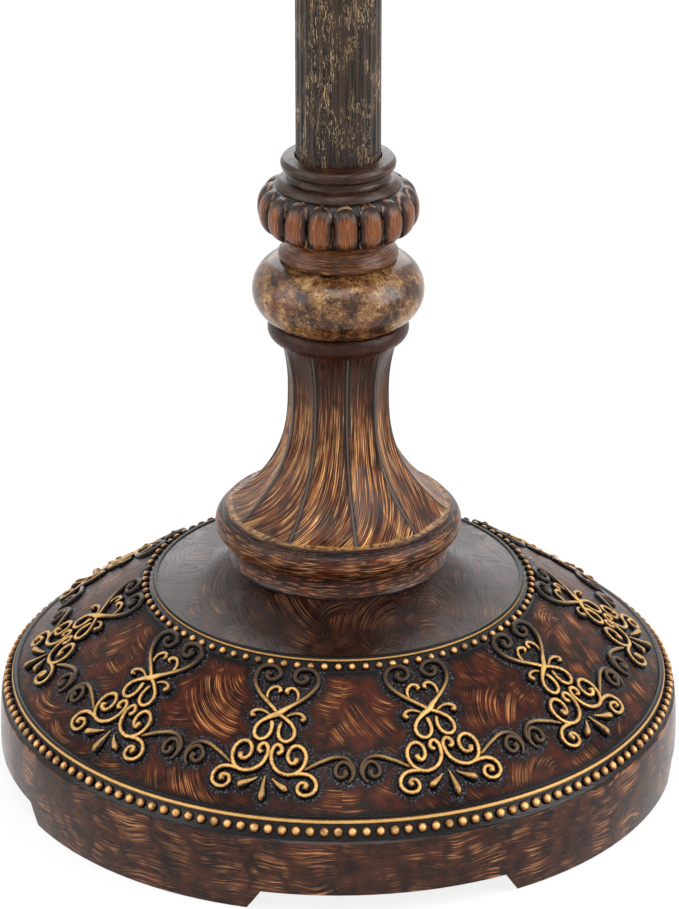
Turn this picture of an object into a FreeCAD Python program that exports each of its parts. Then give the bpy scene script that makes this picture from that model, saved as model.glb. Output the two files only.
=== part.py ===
"""Candlestick floor lamp: a domed resin base on four bracket feet, a fluted pedestal, a stone ring and a
gadrooned collar, a tall fluted tube, the same ornaments again under a candle cup, and a socket, harp,
shade and finial on top.

Millimetres and degrees. The axis of the lamp is Z, the floor is Z = 0 and the front looks along -Y.
Every size is a cell of the sheet; every piece takes its sizes and its place in the stack from it.
"""
import FreeCAD, Part
import math
import os
from types import SimpleNamespace

import Sketcher
from FreeCAD import Placement, Rotation, Vector

SIZES = {
    # clearances
    "fit_gap": 0.05,             # radial, round running fits and threads
    "seat_gap": 0.3,             # between soft or curved faces that rest on each other
    "pipe_gap": 0.4,             # radial, round the pipe in castings and plates
    "pole_flat": 0.4,            # radius of the small flat where a rounded top meets the axis

    # base: feet and skirt
    "foot_radius": 158.0,
    "belly": 0.9,                # how far the skirt swells past its two edges
    "skirt_top_radius": 157.6,
    "skirt_top_height": 34.6,
    "foot_turn": 7.7,            # turn of the feet about the axis
    "feet": 4,
    "notch_height": 9.8,         # top of the windows between the feet
    "notch_top_width": 109.0,
    "notch_slope": 6.2,          # how much wider the window is at the floor, each side
    "pad_reach": 0.6,            # how far the pads stand out below the feet
    "pad_recess": 1.4,
    "pad_width": 5.0,
    "pad_inset": 1.8,
    "pad_sweep": 30.0,

    # base: dome and its mouldings
    "bead_land_foot_radius": 156.4,
    "bead_land_foot_height": 35.4,
    "bead_land_top_radius": 152.6,
    "bead_land_top_height": 42.0,
    "line_rise": 0.9,
    "dome_foot_radius": 149.8,
    "dome_foot_height": 43.9,
    "dome_crown": 0.8,
    "dome_top_radius": 91.6,
    "dome_top_height": 85.2,
    "inner_land_top_radius": 86.2,
    "inner_land_top_height": 87.4,
    "disc_edge_radius": 83.8,
    "disc_edge_height": 88.8,
    "disc_hollow": 1.4,
    "plinth_foot_radius": 50.5,
    "plinth_foot_height": 101.3,
    "plinth_radius": 49.5,
    "plinth_height": 111.8,
    "plinth_hollow": 1.2,

    # base: inside
    "shell_wall": 8.0,
    "cavity_radius": 147.0,
    "hub_radius": 20.0,
    "cover_thickness": 1.5,
    "cover_seat_height": 12.4,
    "cover_radius": 149.2,
    "boss_circle_radius": 142.5,
    "boss_radius": 6.0,
    "boss_height": 31.0,
    "screw_radius": 1.6,
    "screw_length": 10.0,
    "screw_head_radius": 3.8,
    "screw_head_height": 2.2,
    "screw_hole_radius": 2.2,
    "ballast_radius": 128.0,
    "ballast_thickness": 16.0,
    "ballast_foot_height": 28.0,
    "washer_radius": 16.0,
    "washer_thickness": 3.0,
    "nut_across_flats": 17.5,
    "nut_height": 6.0,
    "bushing_height": 24.0,      # axis of the cord bushing above the floor
    "bushing_radius": 6.0,
    "bushing_bore_radius": 3.3,
    "bushing_flange_radius": 8.0,
    "bushing_flange": 1.8,
    "bushing_bed_depth": 2.2,    # from the skirt's outside to the bed of the flange

    # the threaded pipes through the stack
    "pipe_radius": 5.1,
    "pipe_bore_radius": 3.2,
    "pipe_below_nut": 4.0,

    # pedestal
    "pedestal_height": 106.6,
    "pedestal_rim_foot_radius": 50.6,
    "pedestal_rim_top_radius": 52.4,
    "pedestal_rim_height": 12.4,
    "pedestal_rim_swell": 5.2,
    "pedestal_line_height": 1.8,
    "pedestal_line_rise": 0.8,
    "pedestal_flute_radius": 50.2,   # foot of the flutes
    "pedestal_waist_radius": 23.2,
    "pedestal_waist_height": 73.0,
    "pedestal_ring_foot_height": 97.0,
    "pedestal_ring_foot_radius": 27.0,
    "pedestal_ring_top_radius": 29.8,
    "pedestal_ring_swell": 3.6,
    "vase_flare": 2.8,               # power of the vase's outline
    "vase_flutes": 10,
    "vase_flute_turn": 9.6,          # first ridge, from the front
    "vase_flute_depth": 0.115,       # share of the radius
    "vase_land_share": 0.06,         # share of the pitch left as ridge

    # stone ring
    "stone_height": 29.3,
    "stone_wide_radius": 29.8,
    "stone_narrow_radius": 25.9,
    "stone_swell": 11.0,

    # gadroon collar
    "collar_height": 48.5,
    "collar_foot_neck_radius": 24.5,
    "collar_foot_neck_height": 8.0,
    "belly_radius": 27.6,            # of both ends of the lobes
    "belly_foot_height": 13.0,
    "belly_top_height": 34.4,
    "belly_swell": 8.7,
    "lobes": 19,
    "lobe_gap_radius": 2.1,
    "lobe_gap_out": 0.9,
    "lobe_gap_sweep": 118.0,
    "ring_top_radius": 24.6,
    "ring_top_height": 37.8,
    "collar_neck_radius": 22.8,
    "collar_neck_height": 41.6,
    "collar_rim_radius": 25.6,
    "collar_rim_foot_height": 44.2,
    "collar_rim_top_height": 45.6,
    "tube_recess_depth": 8.5,

    # tubes
    "tube_radius": 19.05,
    "tube_wall": 1.6,
    "tube_length": 418.0,
    "tube_band": 3.0,                # plain band left at each visible end
    "tube_flutes": 30,
    "tube_flute_depth": 0.45,
    "tube_flute_radius": 5.0,
    "plug_length": 20.0,
    "plug_inset": 2.0,
    "coupling_spigot": 30.0,
    "coupling_flange_radius": 20.6,
    "coupling_flange_height": 5.0,
    "coupling_bore_radius": 6.0,

    # candle cup and drip pan
    "cup_height": 78.0,
    "cup_rim_foot_radius": 40.0,
    "cup_rim_top_radius": 41.6,
    "cup_rim_height": 9.6,
    "cup_rim_swell": 4.0,
    "cup_line_height": 1.5,
    "cup_line_rise": 0.7,
    "cup_flute_radius": 39.6,
    "cup_waist_radius": 20.0,
    "cup_waist_height": 52.0,
    "cup_ring_foot_height": 69.0,
    "cup_ring_foot_radius": 23.6,
    "cup_ring_top_radius": 29.8,
    "cup_ring_swell": 3.0,
    "pan_radius": 56.0,
    "pan_foot_radius": 36.0,
    "pan_thickness": 3.0,
    "pan_rise": 9.0,                 # height of the pan's edge above its floor
    "pan_lip_swell": 1.6,

    # harp saddle, harp and sleeves
    "strap_thickness": 1.6,
    "strap_width": 12.0,
    "strap_centre_radius": 15.0,
    "leg_spread": 27.0,              # axis of the harp to the axis of a leg
    "strap_arm_height": 12.0,
    "peg_radius": 3.1,
    "peg_height": 7.0,
    "wire_radius": 1.8,
    "harp_foot_height": 6.0,
    "leg_straight": 32.0,
    "harp_spread": 55.0,
    "harp_flare_height": 58.0,
    "harp_side_height": 60.0,
    "harp_disc_radius": 6.5,
    "harp_disc_thickness": 2.0,
    "stud_radius": 3.1,
    "stud_height": 13.0,
    "sleeve_radius": 4.2,
    "sleeve_height": 14.0,

    # socket
    "cap_height": 13.0,
    "cap_wall": 0.8,
    "cap_neck_radius": 8.0,
    "cap_neck_height": 4.0,
    "cap_radius": 17.2,
    "shell_foot_height": 8.0,        # of the socket shell above the cap's foot
    "shell_height": 52.0,
    "shell_radius": 16.3,
    "shell_thickness": 0.5,
    "liner_thickness": 0.6,
    "block_height": 22.0,
    "block_foot_height": 10.0,
    "thread_radius": 13.8,
    "thread_thickness": 0.4,
    "thread_height": 23.0,
    "thread_foot_bore_radius": 9.0,
    "contact_radius": 3.5,
    "contact_height": 1.2,
    "switch_height": 11.0,           # axis of the switch above the foot of the block
    "switch_hole_radius": 4.0,
    "shaft_radius": 1.5,
    "shaft_inner": 6.0,              # inner end of the shaft, from the lamp's axis
    "shaft_outer": 30.0,
    "knob_radius": 6.5,
    "knob_length": 13.0,
    "knob_grip": 6.0,                # how much of the shaft the knob takes in
    "knob_flutes": 12,
    "knob_flute_radius": 1.0,

    # bulb
    "bulb_contact_radius": 4.6,
    "bulb_contact_height": 1.0,
    "insulator_radius": 10.0,
    "insulator_foot_radius": 6.0,
    "insulator_height": 4.0,
    "bulb_cap_radius": 13.1,
    "bulb_cap_wall": 0.4,
    "bulb_cap_height": 22.0,
    "globe_neck_radius": 12.95,
    "globe_radius": 30.0,
    "globe_centre_height": 51.0,     # centre of the ball above the top of the bulb cap
    "glass_thickness": 0.8,

    # shade
    "shade_top_radius": 115.0,
    "shade_bottom_radius": 215.0,
    "shade_height": 255.0,
    "spider_drop": 20.0,
    "spider_arms": 3,
    "spider_wire_radius": 1.6,
    "spider_washer_radius": 12.0,
    "spider_washer_thickness": 2.4,
    "ring_wire_radius": 1.5,
    "rib_width": 3.0,
    "rib_thickness": 1.4,
    "ribs": 8,
    "fabric_thickness": 1.0,
    "fabric_gap": 0.3,
    "trim_height": 12.0,
    "trim_thickness": 1.0,

    # finial
    "finial_base_radius": 9.0,
    "finial_base_height": 4.0,
    "finial_neck_radius": 4.8,
    "finial_neck_height": 9.0,
    "finial_ball_radius": 12.0,
    "finial_ball_height": 24.0,
    "finial_tip_radius": 3.0,
    "finial_tip_height": 9.0,
    "finial_bore_depth": 14.0,
}

FULL_TURN = 360


class Size:
    """A cell of the sheet, or a sum made from cells: its number and its formula."""

    def __init__(self, number, formula=None):
        self.number = float(number)
        self.formula = formula or repr(float(number))

    @staticmethod
    def of(value):
        return value if isinstance(value, Size) else Size(value)

    def joined(self, sign, other, number):
        return Size(number, f"({self.formula} {sign} {other.formula})")

    def __add__(self, other):
        other = Size.of(other)
        return self.joined("+", other, self.number + other.number)

    def __sub__(self, other):
        other = Size.of(other)
        return self.joined("-", other, self.number - other.number)

    def __mul__(self, other):
        other = Size.of(other)
        return self.joined("*", other, self.number * other.number)

    def __truediv__(self, other):
        other = Size.of(other)
        return self.joined("/", other, self.number / other.number)

    def __rsub__(self, other):
        return Size.of(other) - self

    def __neg__(self):
        return Size(0) - self

    __radd__ = __add__
    __rmul__ = __mul__

    def root(self):
        return Size(math.sqrt(self.number), f"sqrt({self.formula})")


# ---------------------------------------------------------------- the document and its sheet

lamp = FreeCAD.newDocument("CandlestickFloorLamp")
sheet = lamp.addObject("Spreadsheet::Sheet", "Sizes")
for row, (name, value) in enumerate(SIZES.items(), start=1):
    sheet.set(f"A{row}", name)
    sheet.set(f"B{row}", str(value))
    sheet.setAlias(f"B{row}", name)
lamp.recompute()
S = SimpleNamespace(**{name: Size(value, f"Sizes.{name}") for name, value in SIZES.items()})

# ---------------------------------------------------------------- sketches


def sketch_on(body, role, lift=None):
    """A new sketch on one of the body's own origin planes, lifted along the plane's normal."""
    sketch = body.newObject("Sketcher::SketchObject", "Sketch")
    plane = next(item for item in body.Origin.OriginFeatures if item.Role == role)
    sketch.AttachmentSupport = [(plane, "")]
    sketch.MapMode = "FlatFace"
    if lift is not None:
        sketch.setExpression("AttachmentOffset.Base.z", Size.of(lift).formula)
    lamp.recompute()
    return sketch


def add_constraints(sketch, wanted):
    """Adds constraints; each is a Constraint, or one with the formula that drives it."""
    start = sketch.ConstraintCount
    sketch.addConstraint([item[0] for item in wanted])
    for index, (_, formula) in enumerate(wanted, start=start):
        if formula is not None:
            sketch.setExpression(f"Constraints[{index}]", formula)


def pin_point(geometry, end, x, y):
    """The constraints that hold one point at (x, y) of the sketch."""
    pins = []
    for value, kind, axis in ((x, "DistanceX", -2), (y, "DistanceY", -1)):
        if value.number == 0:
            pins.append((Sketcher.Constraint("PointOnObject", geometry, end, axis), None))
        else:
            constraint = Sketcher.Constraint(kind, -1, 1, geometry, end, value.number)
            pins.append((constraint, value.formula))
    return pins


def swell_radius(dx, dy, rise):
    """Radius of the arc that rises by rise over the chord (dx, dy)."""
    return (dx * dx + dy * dy) / (rise * 8) + rise / 2


def arc_rise(radius, start, stop):
    """Rise of the arc of the given radius, of under a half turn, between two points."""
    dx, dy = Size.of(start[0]) - stop[0], Size.of(start[1]) - stop[1]
    quarter_chord = (dx * dx + dy * dy) / 4
    return radius - (radius * radius - quarter_chord).root()


def draw_path(sketch, corners, closed=True):
    """Lines and arcs through corners (x, y) or (x, y, swell of the edge that leaves the corner).

    A positive swell bulges to the right of the way, which is outwards on an outline drawn
    anticlockwise.
    """
    points = [(Size.of(corner[0]), Size.of(corner[1])) for corner in corners]
    swells = [Size.of(corner[2]) if len(corner) > 2 else None for corner in corners]
    count = len(points) if closed else len(points) - 1
    constraints, ends = [], []
    for index in range(count):
        (x0, y0), (x1, y1) = points[index], points[(index + 1) % len(points)]
        start, stop = Vector(x0.number, y0.number), Vector(x1.number, y1.number)
        swell = swells[index]
        if swell is None:
            geometry = sketch.addGeometry(Part.LineSegment(start, stop), False)
            ends.append((geometry, 1, 2))
            continue
        rise = swell if swell.number > 0 else -swell
        radius = swell_radius(x1 - x0, y1 - y0, rise)
        chord = stop - start
        to_centre = Vector(-chord.y, chord.x).normalize() * math.copysign(1, swell.number)
        centre = (start + stop) * 0.5 + to_centre * (radius.number - rise.number)
        first, last = (start, stop) if swell.number > 0 else (stop, start)
        angles = [math.atan2(point.y - centre.y, point.x - centre.x) for point in (first, last)]
        circle = Part.Circle(centre, Vector(0, 0, 1), radius.number)
        geometry = sketch.addGeometry(Part.ArcOfCircle(circle, *angles), False)
        ends.append((geometry, 1, 2) if swell.number > 0 else (geometry, 2, 1))
        constraints.append((Sketcher.Constraint("Radius", geometry, radius.number), radius.formula))
    for index, (geometry, first, last) in enumerate(ends):
        constraints += pin_point(geometry, first, *points[index])
        if index + 1 < count or closed:
            following, start_end, _ = ends[(index + 1) % count]
            joint = Sketcher.Constraint("Coincident", geometry, last, following, start_end)
            constraints.append((joint, None))
        else:
            constraints += pin_point(geometry, last, *points[-1])
    add_constraints(sketch, constraints)


def draw_circle(sketch, x, y, radius):
    """A circle whose centre and radius follow the sheet."""
    x, y, radius = Size.of(x), Size.of(y), Size.of(radius)
    circle = Part.Circle(Vector(x.number, y.number), Vector(0, 0, 1), radius.number)
    geometry = sketch.addGeometry(circle, False)
    size = [(Sketcher.Constraint("Radius", geometry, radius.number), radius.formula)]
    add_constraints(sketch, pin_point(geometry, 3, x, y) + size)


def box_outline(x0, y0, x1, y1):
    """The four corners of a rectangle."""
    return [(x0, y0), (x1, y0), (x1, y1), (x0, y1)]


# ---------------------------------------------------------------- bodies and features


def new_body(label, height=0, turn=None, flipped=False):
    """An empty body at its height in the stack, turned about the axis or put upside down."""
    body = lamp.addObject("PartDesign::Body", label)
    body.Label = label
    if flipped:
        body.Placement = Placement(Vector(), Rotation(Vector(1, 0, 0), 180))
    body.setExpression("Placement.Base.z", Size.of(height).formula)
    if turn is not None:
        body.setExpression("Placement.Rotation.Angle", f"{turn.formula} * 1 deg")
    return body


def add_feature(body, kind, profile, sizes=None, **settings):
    """A feature made from a profile, with the properties in sizes bound to the sheet."""
    feature = body.newObject(f"PartDesign::{kind}", kind)
    feature.Profile = profile
    for name, value in settings.items():
        setattr(feature, name, value)
    for name, value in (sizes or {}).items():
        feature.setExpression(name, Size.of(value).formula)
    body.Tip = feature
    lamp.recompute()
    return feature


def revolve(body, profile, kind="Revolution", sweep=FULL_TURN, axis="V_Axis"):
    """Turns the profile about an axis of its own sketch."""
    partly = isinstance(sweep, Size)
    return add_feature(body, kind, profile, {"Angle": sweep}, ReferenceAxis=(profile, [axis]),
                       Midplane=partly)


def pad(body, profile, length, **settings):
    return add_feature(body, "Pad", profile, {"Length": length}, **settings)


def pocket(body, profile, length, **settings):
    return add_feature(body, "Pocket", profile, {"Length": length}, **settings)


def repeat_around(body, feature, count, axis):
    """Copies a feature evenly about an axis of a sketch."""
    pattern = body.newObject("PartDesign::PolarPattern", "PolarPattern")
    pattern.Originals = [feature]
    pattern.Axis = axis
    pattern.Angle = FULL_TURN
    pattern.setExpression("Occurrences", Size.of(count).formula)
    body.Tip = pattern
    lamp.recompute()
    return pattern


def turned(label, outline, height=0, turn=None, flipped=False):
    """A piece turned from one outline of (radius, height) corners."""
    body = new_body(label, height, turn, flipped)
    section = sketch_on(body, "XZ_Plane")
    draw_path(section, outline)
    revolve(body, section)
    return body


def ring(label, inner, outer, thickness, height=0, turn=None):
    """A plain washer, disc or sleeve."""
    return turned(label, box_outline(inner, 0, outer, thickness), height, turn)


# ---------------------------------------------------------------- heights in the stack

pipe_hole = S.pipe_radius + S.pipe_gap
thread_hole = S.pipe_radius + S.fit_gap
pedestal_foot = S.plinth_height
stone_foot = pedestal_foot + S.pedestal_height
collar_foot = stone_foot + S.stone_height
tube_foot = collar_foot + S.collar_height - S.tube_recess_depth
upper_tube_foot = tube_foot + S.tube_length + S.coupling_flange_height
tube_top = upper_tube_foot + S.tube_length
upper_stone_foot = tube_top + S.collar_height - S.tube_recess_depth
cup_foot = upper_stone_foot + S.stone_height
pan_foot = cup_foot + S.cup_height
saddle_foot = pan_foot + S.pan_thickness
cap_foot = saddle_foot + S.strap_thickness
shell_foot = cap_foot + S.shell_foot_height
block_foot = cap_foot + S.block_foot_height
block_top = block_foot + S.block_height
harp_foot = saddle_foot + S.strap_arm_height + S.peg_height
harp_top = harp_foot + S.leg_straight + S.harp_flare_height + S.harp_side_height + S.harp_spread
washer_seat = harp_top + S.wire_radius + S.harp_disc_thickness
shade_top = washer_seat + S.spider_drop
shade_foot = shade_top - S.shade_height

# ---------------------------------------------------------------- base


def base_casting():
    """The hollow shell that the lamp stands on, with windows that leave four feet."""
    slope = math.hypot(3, 4)
    inner_shift, inner_drop = S.shell_wall * 3 / slope, S.shell_wall * 4 / slope
    cover_hole = S.cover_radius + S.pipe_gap
    outline = [
        (cover_hole, S.pad_reach),
        (S.foot_radius, S.pad_reach, S.belly),
        (S.skirt_top_radius, S.skirt_top_height),
        (S.bead_land_foot_radius, S.bead_land_foot_height),
        (S.bead_land_top_radius, S.bead_land_top_height, S.line_rise),
        (S.dome_foot_radius, S.dome_foot_height, S.dome_crown),
        (S.dome_top_radius, S.dome_top_height),
        (S.inner_land_top_radius, S.inner_land_top_height, S.line_rise),
        (S.disc_edge_radius, S.disc_edge_height, -S.disc_hollow),
        (S.plinth_foot_radius, S.plinth_foot_height, -S.plinth_hollow),
        (S.plinth_radius, S.plinth_height),
        (pipe_hole, S.plinth_height),
        (pipe_hole, S.ballast_foot_height + S.ballast_thickness),
        (S.hub_radius, S.ballast_foot_height + S.ballast_thickness),
        (S.hub_radius, S.dome_top_height - inner_drop),
        (S.dome_top_radius - inner_shift, S.dome_top_height - inner_drop),
        (S.cavity_radius, S.dome_foot_height - inner_drop),
        (S.cavity_radius, S.cover_seat_height),
        (cover_hole, S.cover_seat_height),
    ]
    body = turned("base_casting", outline, turn=S.foot_turn)

    bosses = sketch_on(body, "XY_Plane", S.cover_seat_height)
    draw_circle(bosses, S.boss_circle_radius, 0, S.boss_radius)
    boss = pad(body, bosses, S.boss_height)
    repeat_around(body, boss, S.feet, (bosses, ["N_Axis"]))
    holes = sketch_on(body, "XY_Plane", S.cover_seat_height)
    draw_circle(holes, S.boss_circle_radius, 0, S.screw_radius + S.fit_gap)
    hole = pocket(body, holes, S.screw_length + S.seat_gap, Reversed=True)
    repeat_around(body, hole, S.feet, (holes, ["N_Axis"]))

    windows = sketch_on(body, "XZ_Plane")
    half_top = S.notch_top_width / 2
    half_foot = half_top + S.notch_slope
    draw_path(windows, [(-half_foot, 0), (half_foot, 0), (half_top, S.notch_height),
                        (-half_top, S.notch_height)])
    window = pocket(body, windows, S.foot_radius + S.belly * 2, Reversed=True)
    repeat_around(body, window, S.feet, (windows, ["V_Axis"]))
    cut_pad_recesses(body)

    cord_hole = sketch_on(body, "XZ_Plane")
    draw_circle(cord_hole, 0, S.bushing_height, S.bushing_radius + S.fit_gap)
    pocket(body, cord_hole, S.foot_radius + S.belly * 2)
    bed = sketch_on(body, "XZ_Plane", S.bushing_bed_depth - S.foot_radius)
    draw_circle(bed, 0, S.bushing_height, S.bushing_flange_radius + S.seat_gap)
    pocket(body, bed, S.bushing_bed_depth + S.belly * 2)
    return body


def pad_section(widening):
    """Inner and outer radius of the pads, or of their recesses when widened."""
    outer = S.foot_radius - S.pad_inset
    return outer - S.pad_width - widening, outer + widening


def feet_apart(body, profile, feature):
    """Copies a feature from the middle of one foot to the others."""
    repeat_around(body, feature, S.feet, (profile, ["V_Axis"]))


def diagonal_sketch(body):
    """A sketch on the upright plane through the middle of a foot."""
    sketch = sketch_on(body, "XZ_Plane")
    sketch.AttachmentOffset = Placement(Vector(), Rotation(Vector(0, 1, 0), 180 / SIZES["feet"]))
    sketch.setExpression("AttachmentOffset.Rotation.Angle", f"180 / {S.feet.formula} * 1 deg")
    lamp.recompute()
    return sketch


def cut_pad_recesses(body):
    """Shallow recesses under the feet for the pads."""
    section = diagonal_sketch(body)
    inner, outer = pad_section(S.seat_gap)
    draw_path(section, box_outline(inner, 0, outer, S.pad_reach + S.pad_recess))
    groove = revolve(body, section, "Groove", S.pad_sweep + 1)
    feet_apart(body, section, groove)


def foot_pads():
    """Rubber pads under the four feet."""
    body = new_body("foot_pads", turn=S.foot_turn)
    section = diagonal_sketch(body)
    inner, outer = pad_section(Size(0))
    draw_path(section, box_outline(inner, 0, outer, S.pad_reach + S.pad_recess))
    one_pad = revolve(body, section, sweep=S.pad_sweep)
    feet_apart(body, section, one_pad)
    return body


def bottom_cover():
    """Steel plate that closes the base, with a hole for each screw."""
    body = new_body("bottom_cover", S.cover_seat_height - S.cover_thickness, S.foot_turn)
    outline = sketch_on(body, "XY_Plane")
    draw_circle(outline, 0, 0, S.cover_radius)
    pad(body, outline, S.cover_thickness)
    holes = sketch_on(body, "XY_Plane")
    draw_circle(holes, S.boss_circle_radius, 0, S.screw_hole_radius)
    hole = pocket(body, holes, S.cover_thickness, Reversed=True)
    repeat_around(body, hole, S.feet, (holes, ["N_Axis"]))
    return body


def cover_screws():
    """Pan-head screws that hold the bottom cover."""
    head_foot = S.cover_seat_height - S.cover_thickness - S.screw_head_height
    body = new_body("cover_screws", head_foot, S.foot_turn)
    heads = sketch_on(body, "XY_Plane")
    draw_circle(heads, S.boss_circle_radius, 0, S.screw_head_radius)
    head = pad(body, heads, S.screw_head_height)
    repeat_around(body, head, S.feet, (heads, ["N_Axis"]))
    shanks = sketch_on(body, "XY_Plane", S.screw_head_height)
    draw_circle(shanks, S.boss_circle_radius, 0, S.screw_radius)
    shank = pad(body, shanks, S.cover_thickness + S.screw_length)
    repeat_around(body, shank, S.feet, (shanks, ["N_Axis"]))
    return body


def base_nut():
    """Hexagon nut that draws the whole stack together."""
    body = new_body("base_nut", S.ballast_foot_height - S.washer_thickness - S.nut_height)
    outline = sketch_on(body, "XY_Plane")
    corner_radius = S.nut_across_flats / (2 * math.cos(math.pi / 6))
    turns = [math.pi * (2 * side + 1) / 6 for side in range(6)]
    draw_path(outline, [(corner_radius * round(math.cos(turn), 9), corner_radius * math.sin(turn))
                        for turn in turns])
    pad(body, outline, S.nut_height)
    bore = sketch_on(body, "XY_Plane")
    draw_circle(bore, 0, 0, thread_hole)
    pocket(body, bore, S.nut_height, Reversed=True)
    return body


def cord_bushing():
    """Flanged bushing in the rear of the skirt that the cord would pass through."""
    body = new_body("cord_bushing", S.bushing_height, S.foot_turn)
    flange_bed = S.foot_radius - S.bushing_bed_depth
    barrel = sketch_on(body, "XZ_Plane", -S.cavity_radius)
    draw_circle(barrel, 0, 0, S.bushing_radius)
    pad(body, barrel, flange_bed - S.cavity_radius, Reversed=True)
    flange = sketch_on(body, "XZ_Plane", -flange_bed)
    draw_circle(flange, 0, 0, S.bushing_flange_radius)
    pad(body, flange, S.bushing_flange, Reversed=True)
    bore = sketch_on(body, "XZ_Plane", -S.cavity_radius)
    draw_circle(bore, 0, 0, S.bushing_bore_radius)
    pocket(body, bore, flange_bed - S.cavity_radius + S.bushing_flange)
    return body


def pipe(label, foot, top):
    """A length of threaded lamp pipe."""
    return ring(label, S.pipe_bore_radius, S.pipe_radius, top - foot, foot)


# ---------------------------------------------------------------- fluted vases: pedestal and candle cup


def ridge_ring(height, radius, depth_share):
    """A closed ring of narrow ridges and hollow flutes at one height."""
    flutes = int(S.vase_flutes.number)
    pitch = 2 * math.pi / flutes
    land = pitch * S.vase_land_share.number / 2
    first_ridge = math.radians(S.vase_flute_turn.number - 90)

    def at(angle, share=1.0):
        reach = radius * share
        return Vector(reach * math.cos(angle), reach * math.sin(angle), height)

    edges = []
    for flute in range(flutes):
        ridge = first_ridge + flute * pitch
        edges.append(Part.Arc(at(ridge - land), at(ridge), at(ridge + land)).toShape())
        middle, following = at(ridge + pitch / 2, 1 - depth_share), at(ridge + pitch - land)
        edges.append(Part.Arc(at(ridge + land), middle, following).toShape())
    return Part.Wire(edges)


def flute_shell(name, foot, foot_radius, waist, waist_radius, top, top_radius):
    """The fluted side of a vase: steep above its waist, flaring to a wide foot below it."""
    stations = 9
    wires = []
    for station in range(stations + 1):
        height = foot + (waist - foot) * station / stations
        widening = (foot_radius - waist_radius) * (1 - station / stations) ** S.vase_flare.number
        wires.append(ridge_ring(height, waist_radius + widening, S.vase_flute_depth.number))
    flat_share = 1 - math.cos(math.pi / S.vase_flutes.number)
    fade = 3
    for station in range(1, fade + 1):
        along = station / fade
        height = waist + (top - waist) * along
        radius = waist_radius + (top_radius - waist_radius) * along ** 2
        depth = S.vase_flute_depth.number * (1 - along) + flat_share * along / 2
        wires.append(ridge_ring(height, radius, depth))
    side = lamp.addObject("Part::Feature", name)
    solid = Part.makeLoft(wires, True, False)
    side.Shape = solid.cut(Part.makeCylinder(pipe_hole.number, 2 * top))
    return side


def fluted_vase(label, part, height, flipped=False):
    """A vase with a rolled rim at its wide end and a ring at its narrow end."""
    size = {name: getattr(S, f"{part}_{name}") for name in (
        "height", "rim_foot_radius", "rim_top_radius", "rim_height", "rim_swell", "line_height",
        "line_rise", "flute_radius", "waist_radius", "waist_height",
        "ring_foot_height", "ring_foot_radius", "ring_top_radius", "ring_swell")}
    line_top = size["rim_height"] + size["line_height"]
    core = (pipe_hole + size["waist_radius"]) / 2
    turning = turned(f"{part}_turning", [
        (pipe_hole, 0),
        (size["rim_foot_radius"], 0, size["rim_swell"]),
        (size["rim_top_radius"], size["rim_height"], size["line_rise"]),
        (size["flute_radius"] + size["line_rise"], line_top),
        (core, line_top),
        (core, size["ring_foot_height"]),
        (size["ring_foot_radius"], size["ring_foot_height"], size["ring_swell"]),
        (size["ring_top_radius"], size["height"]),
        (pipe_hole, size["height"]),
    ])
    side = flute_shell(f"{part}_flutes", line_top.number, size["flute_radius"].number,
                       size["waist_height"].number, size["waist_radius"].number,
                       size["ring_foot_height"].number, size["ring_foot_radius"].number)
    vase = lamp.addObject("Part::Fuse", label)
    vase.Label = label
    vase.Base, vase.Tool = turning, side
    vase.Refine = True
    if flipped:
        vase.Placement = Placement(Vector(), Rotation(Vector(1, 0, 0), 180))
    vase.setExpression("Placement.Base.z", height.formula)
    return vase


# ---------------------------------------------------------------- stone rings and gadroon collars


def stone_ring(label, height, flipped=False):
    """Polished stone ring, wider at one face than at the other."""
    return turned(label, [
        (pipe_hole, 0),
        (S.stone_wide_radius, 0, S.stone_swell),
        (S.stone_narrow_radius, S.stone_height),
        (pipe_hole, S.stone_height),
    ], height, flipped=flipped)


def gadroon_collar(label, height, flipped=False):
    """Collar with rounded lobes, a flat ring and a lip that takes the end of the tube."""
    recess = S.tube_radius + S.pipe_gap
    recess_floor = S.collar_height - S.tube_recess_depth
    body = turned(label, [
        (pipe_hole, 0),
        (S.stone_narrow_radius, 0, -S.seat_gap * 2),
        (S.collar_foot_neck_radius, S.collar_foot_neck_height),
        (S.belly_radius, S.belly_foot_height, S.belly_swell),
        (S.belly_radius, S.belly_top_height),
        (S.ring_top_radius, S.ring_top_height),
        (S.collar_neck_radius, S.collar_neck_height),
        (S.collar_rim_radius, S.collar_rim_foot_height),
        (S.collar_rim_radius, S.collar_rim_top_height),
        (recess, S.collar_height),
        (recess, recess_floor),
        (pipe_hole, recess_floor),
    ], height, flipped=flipped)

    middle = (S.belly_foot_height + S.belly_top_height) / 2
    radius = swell_radius(Size(0), S.belly_top_height - S.belly_foot_height, S.belly_swell)
    centre = S.belly_radius + S.belly_swell - radius
    gaps = sketch_on(body, "XY_Plane", middle)
    draw_circle(gaps, centre + radius + S.lobe_gap_out, 0, S.lobe_gap_radius)
    line = Part.LineSegment(Vector(centre.number, -1), Vector(centre.number, 1))
    hinge = gaps.addGeometry(line, True)
    add_constraints(gaps, pin_point(hinge, 1, centre, Size(-1)) + pin_point(hinge, 2, centre, Size(1)))
    gap = revolve(body, gaps, "Groove", S.lobe_gap_sweep, "Axis0")
    repeat_around(body, gap, S.lobes, (gaps, ["N_Axis"]))
    return body


# ---------------------------------------------------------------- tubes


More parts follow.
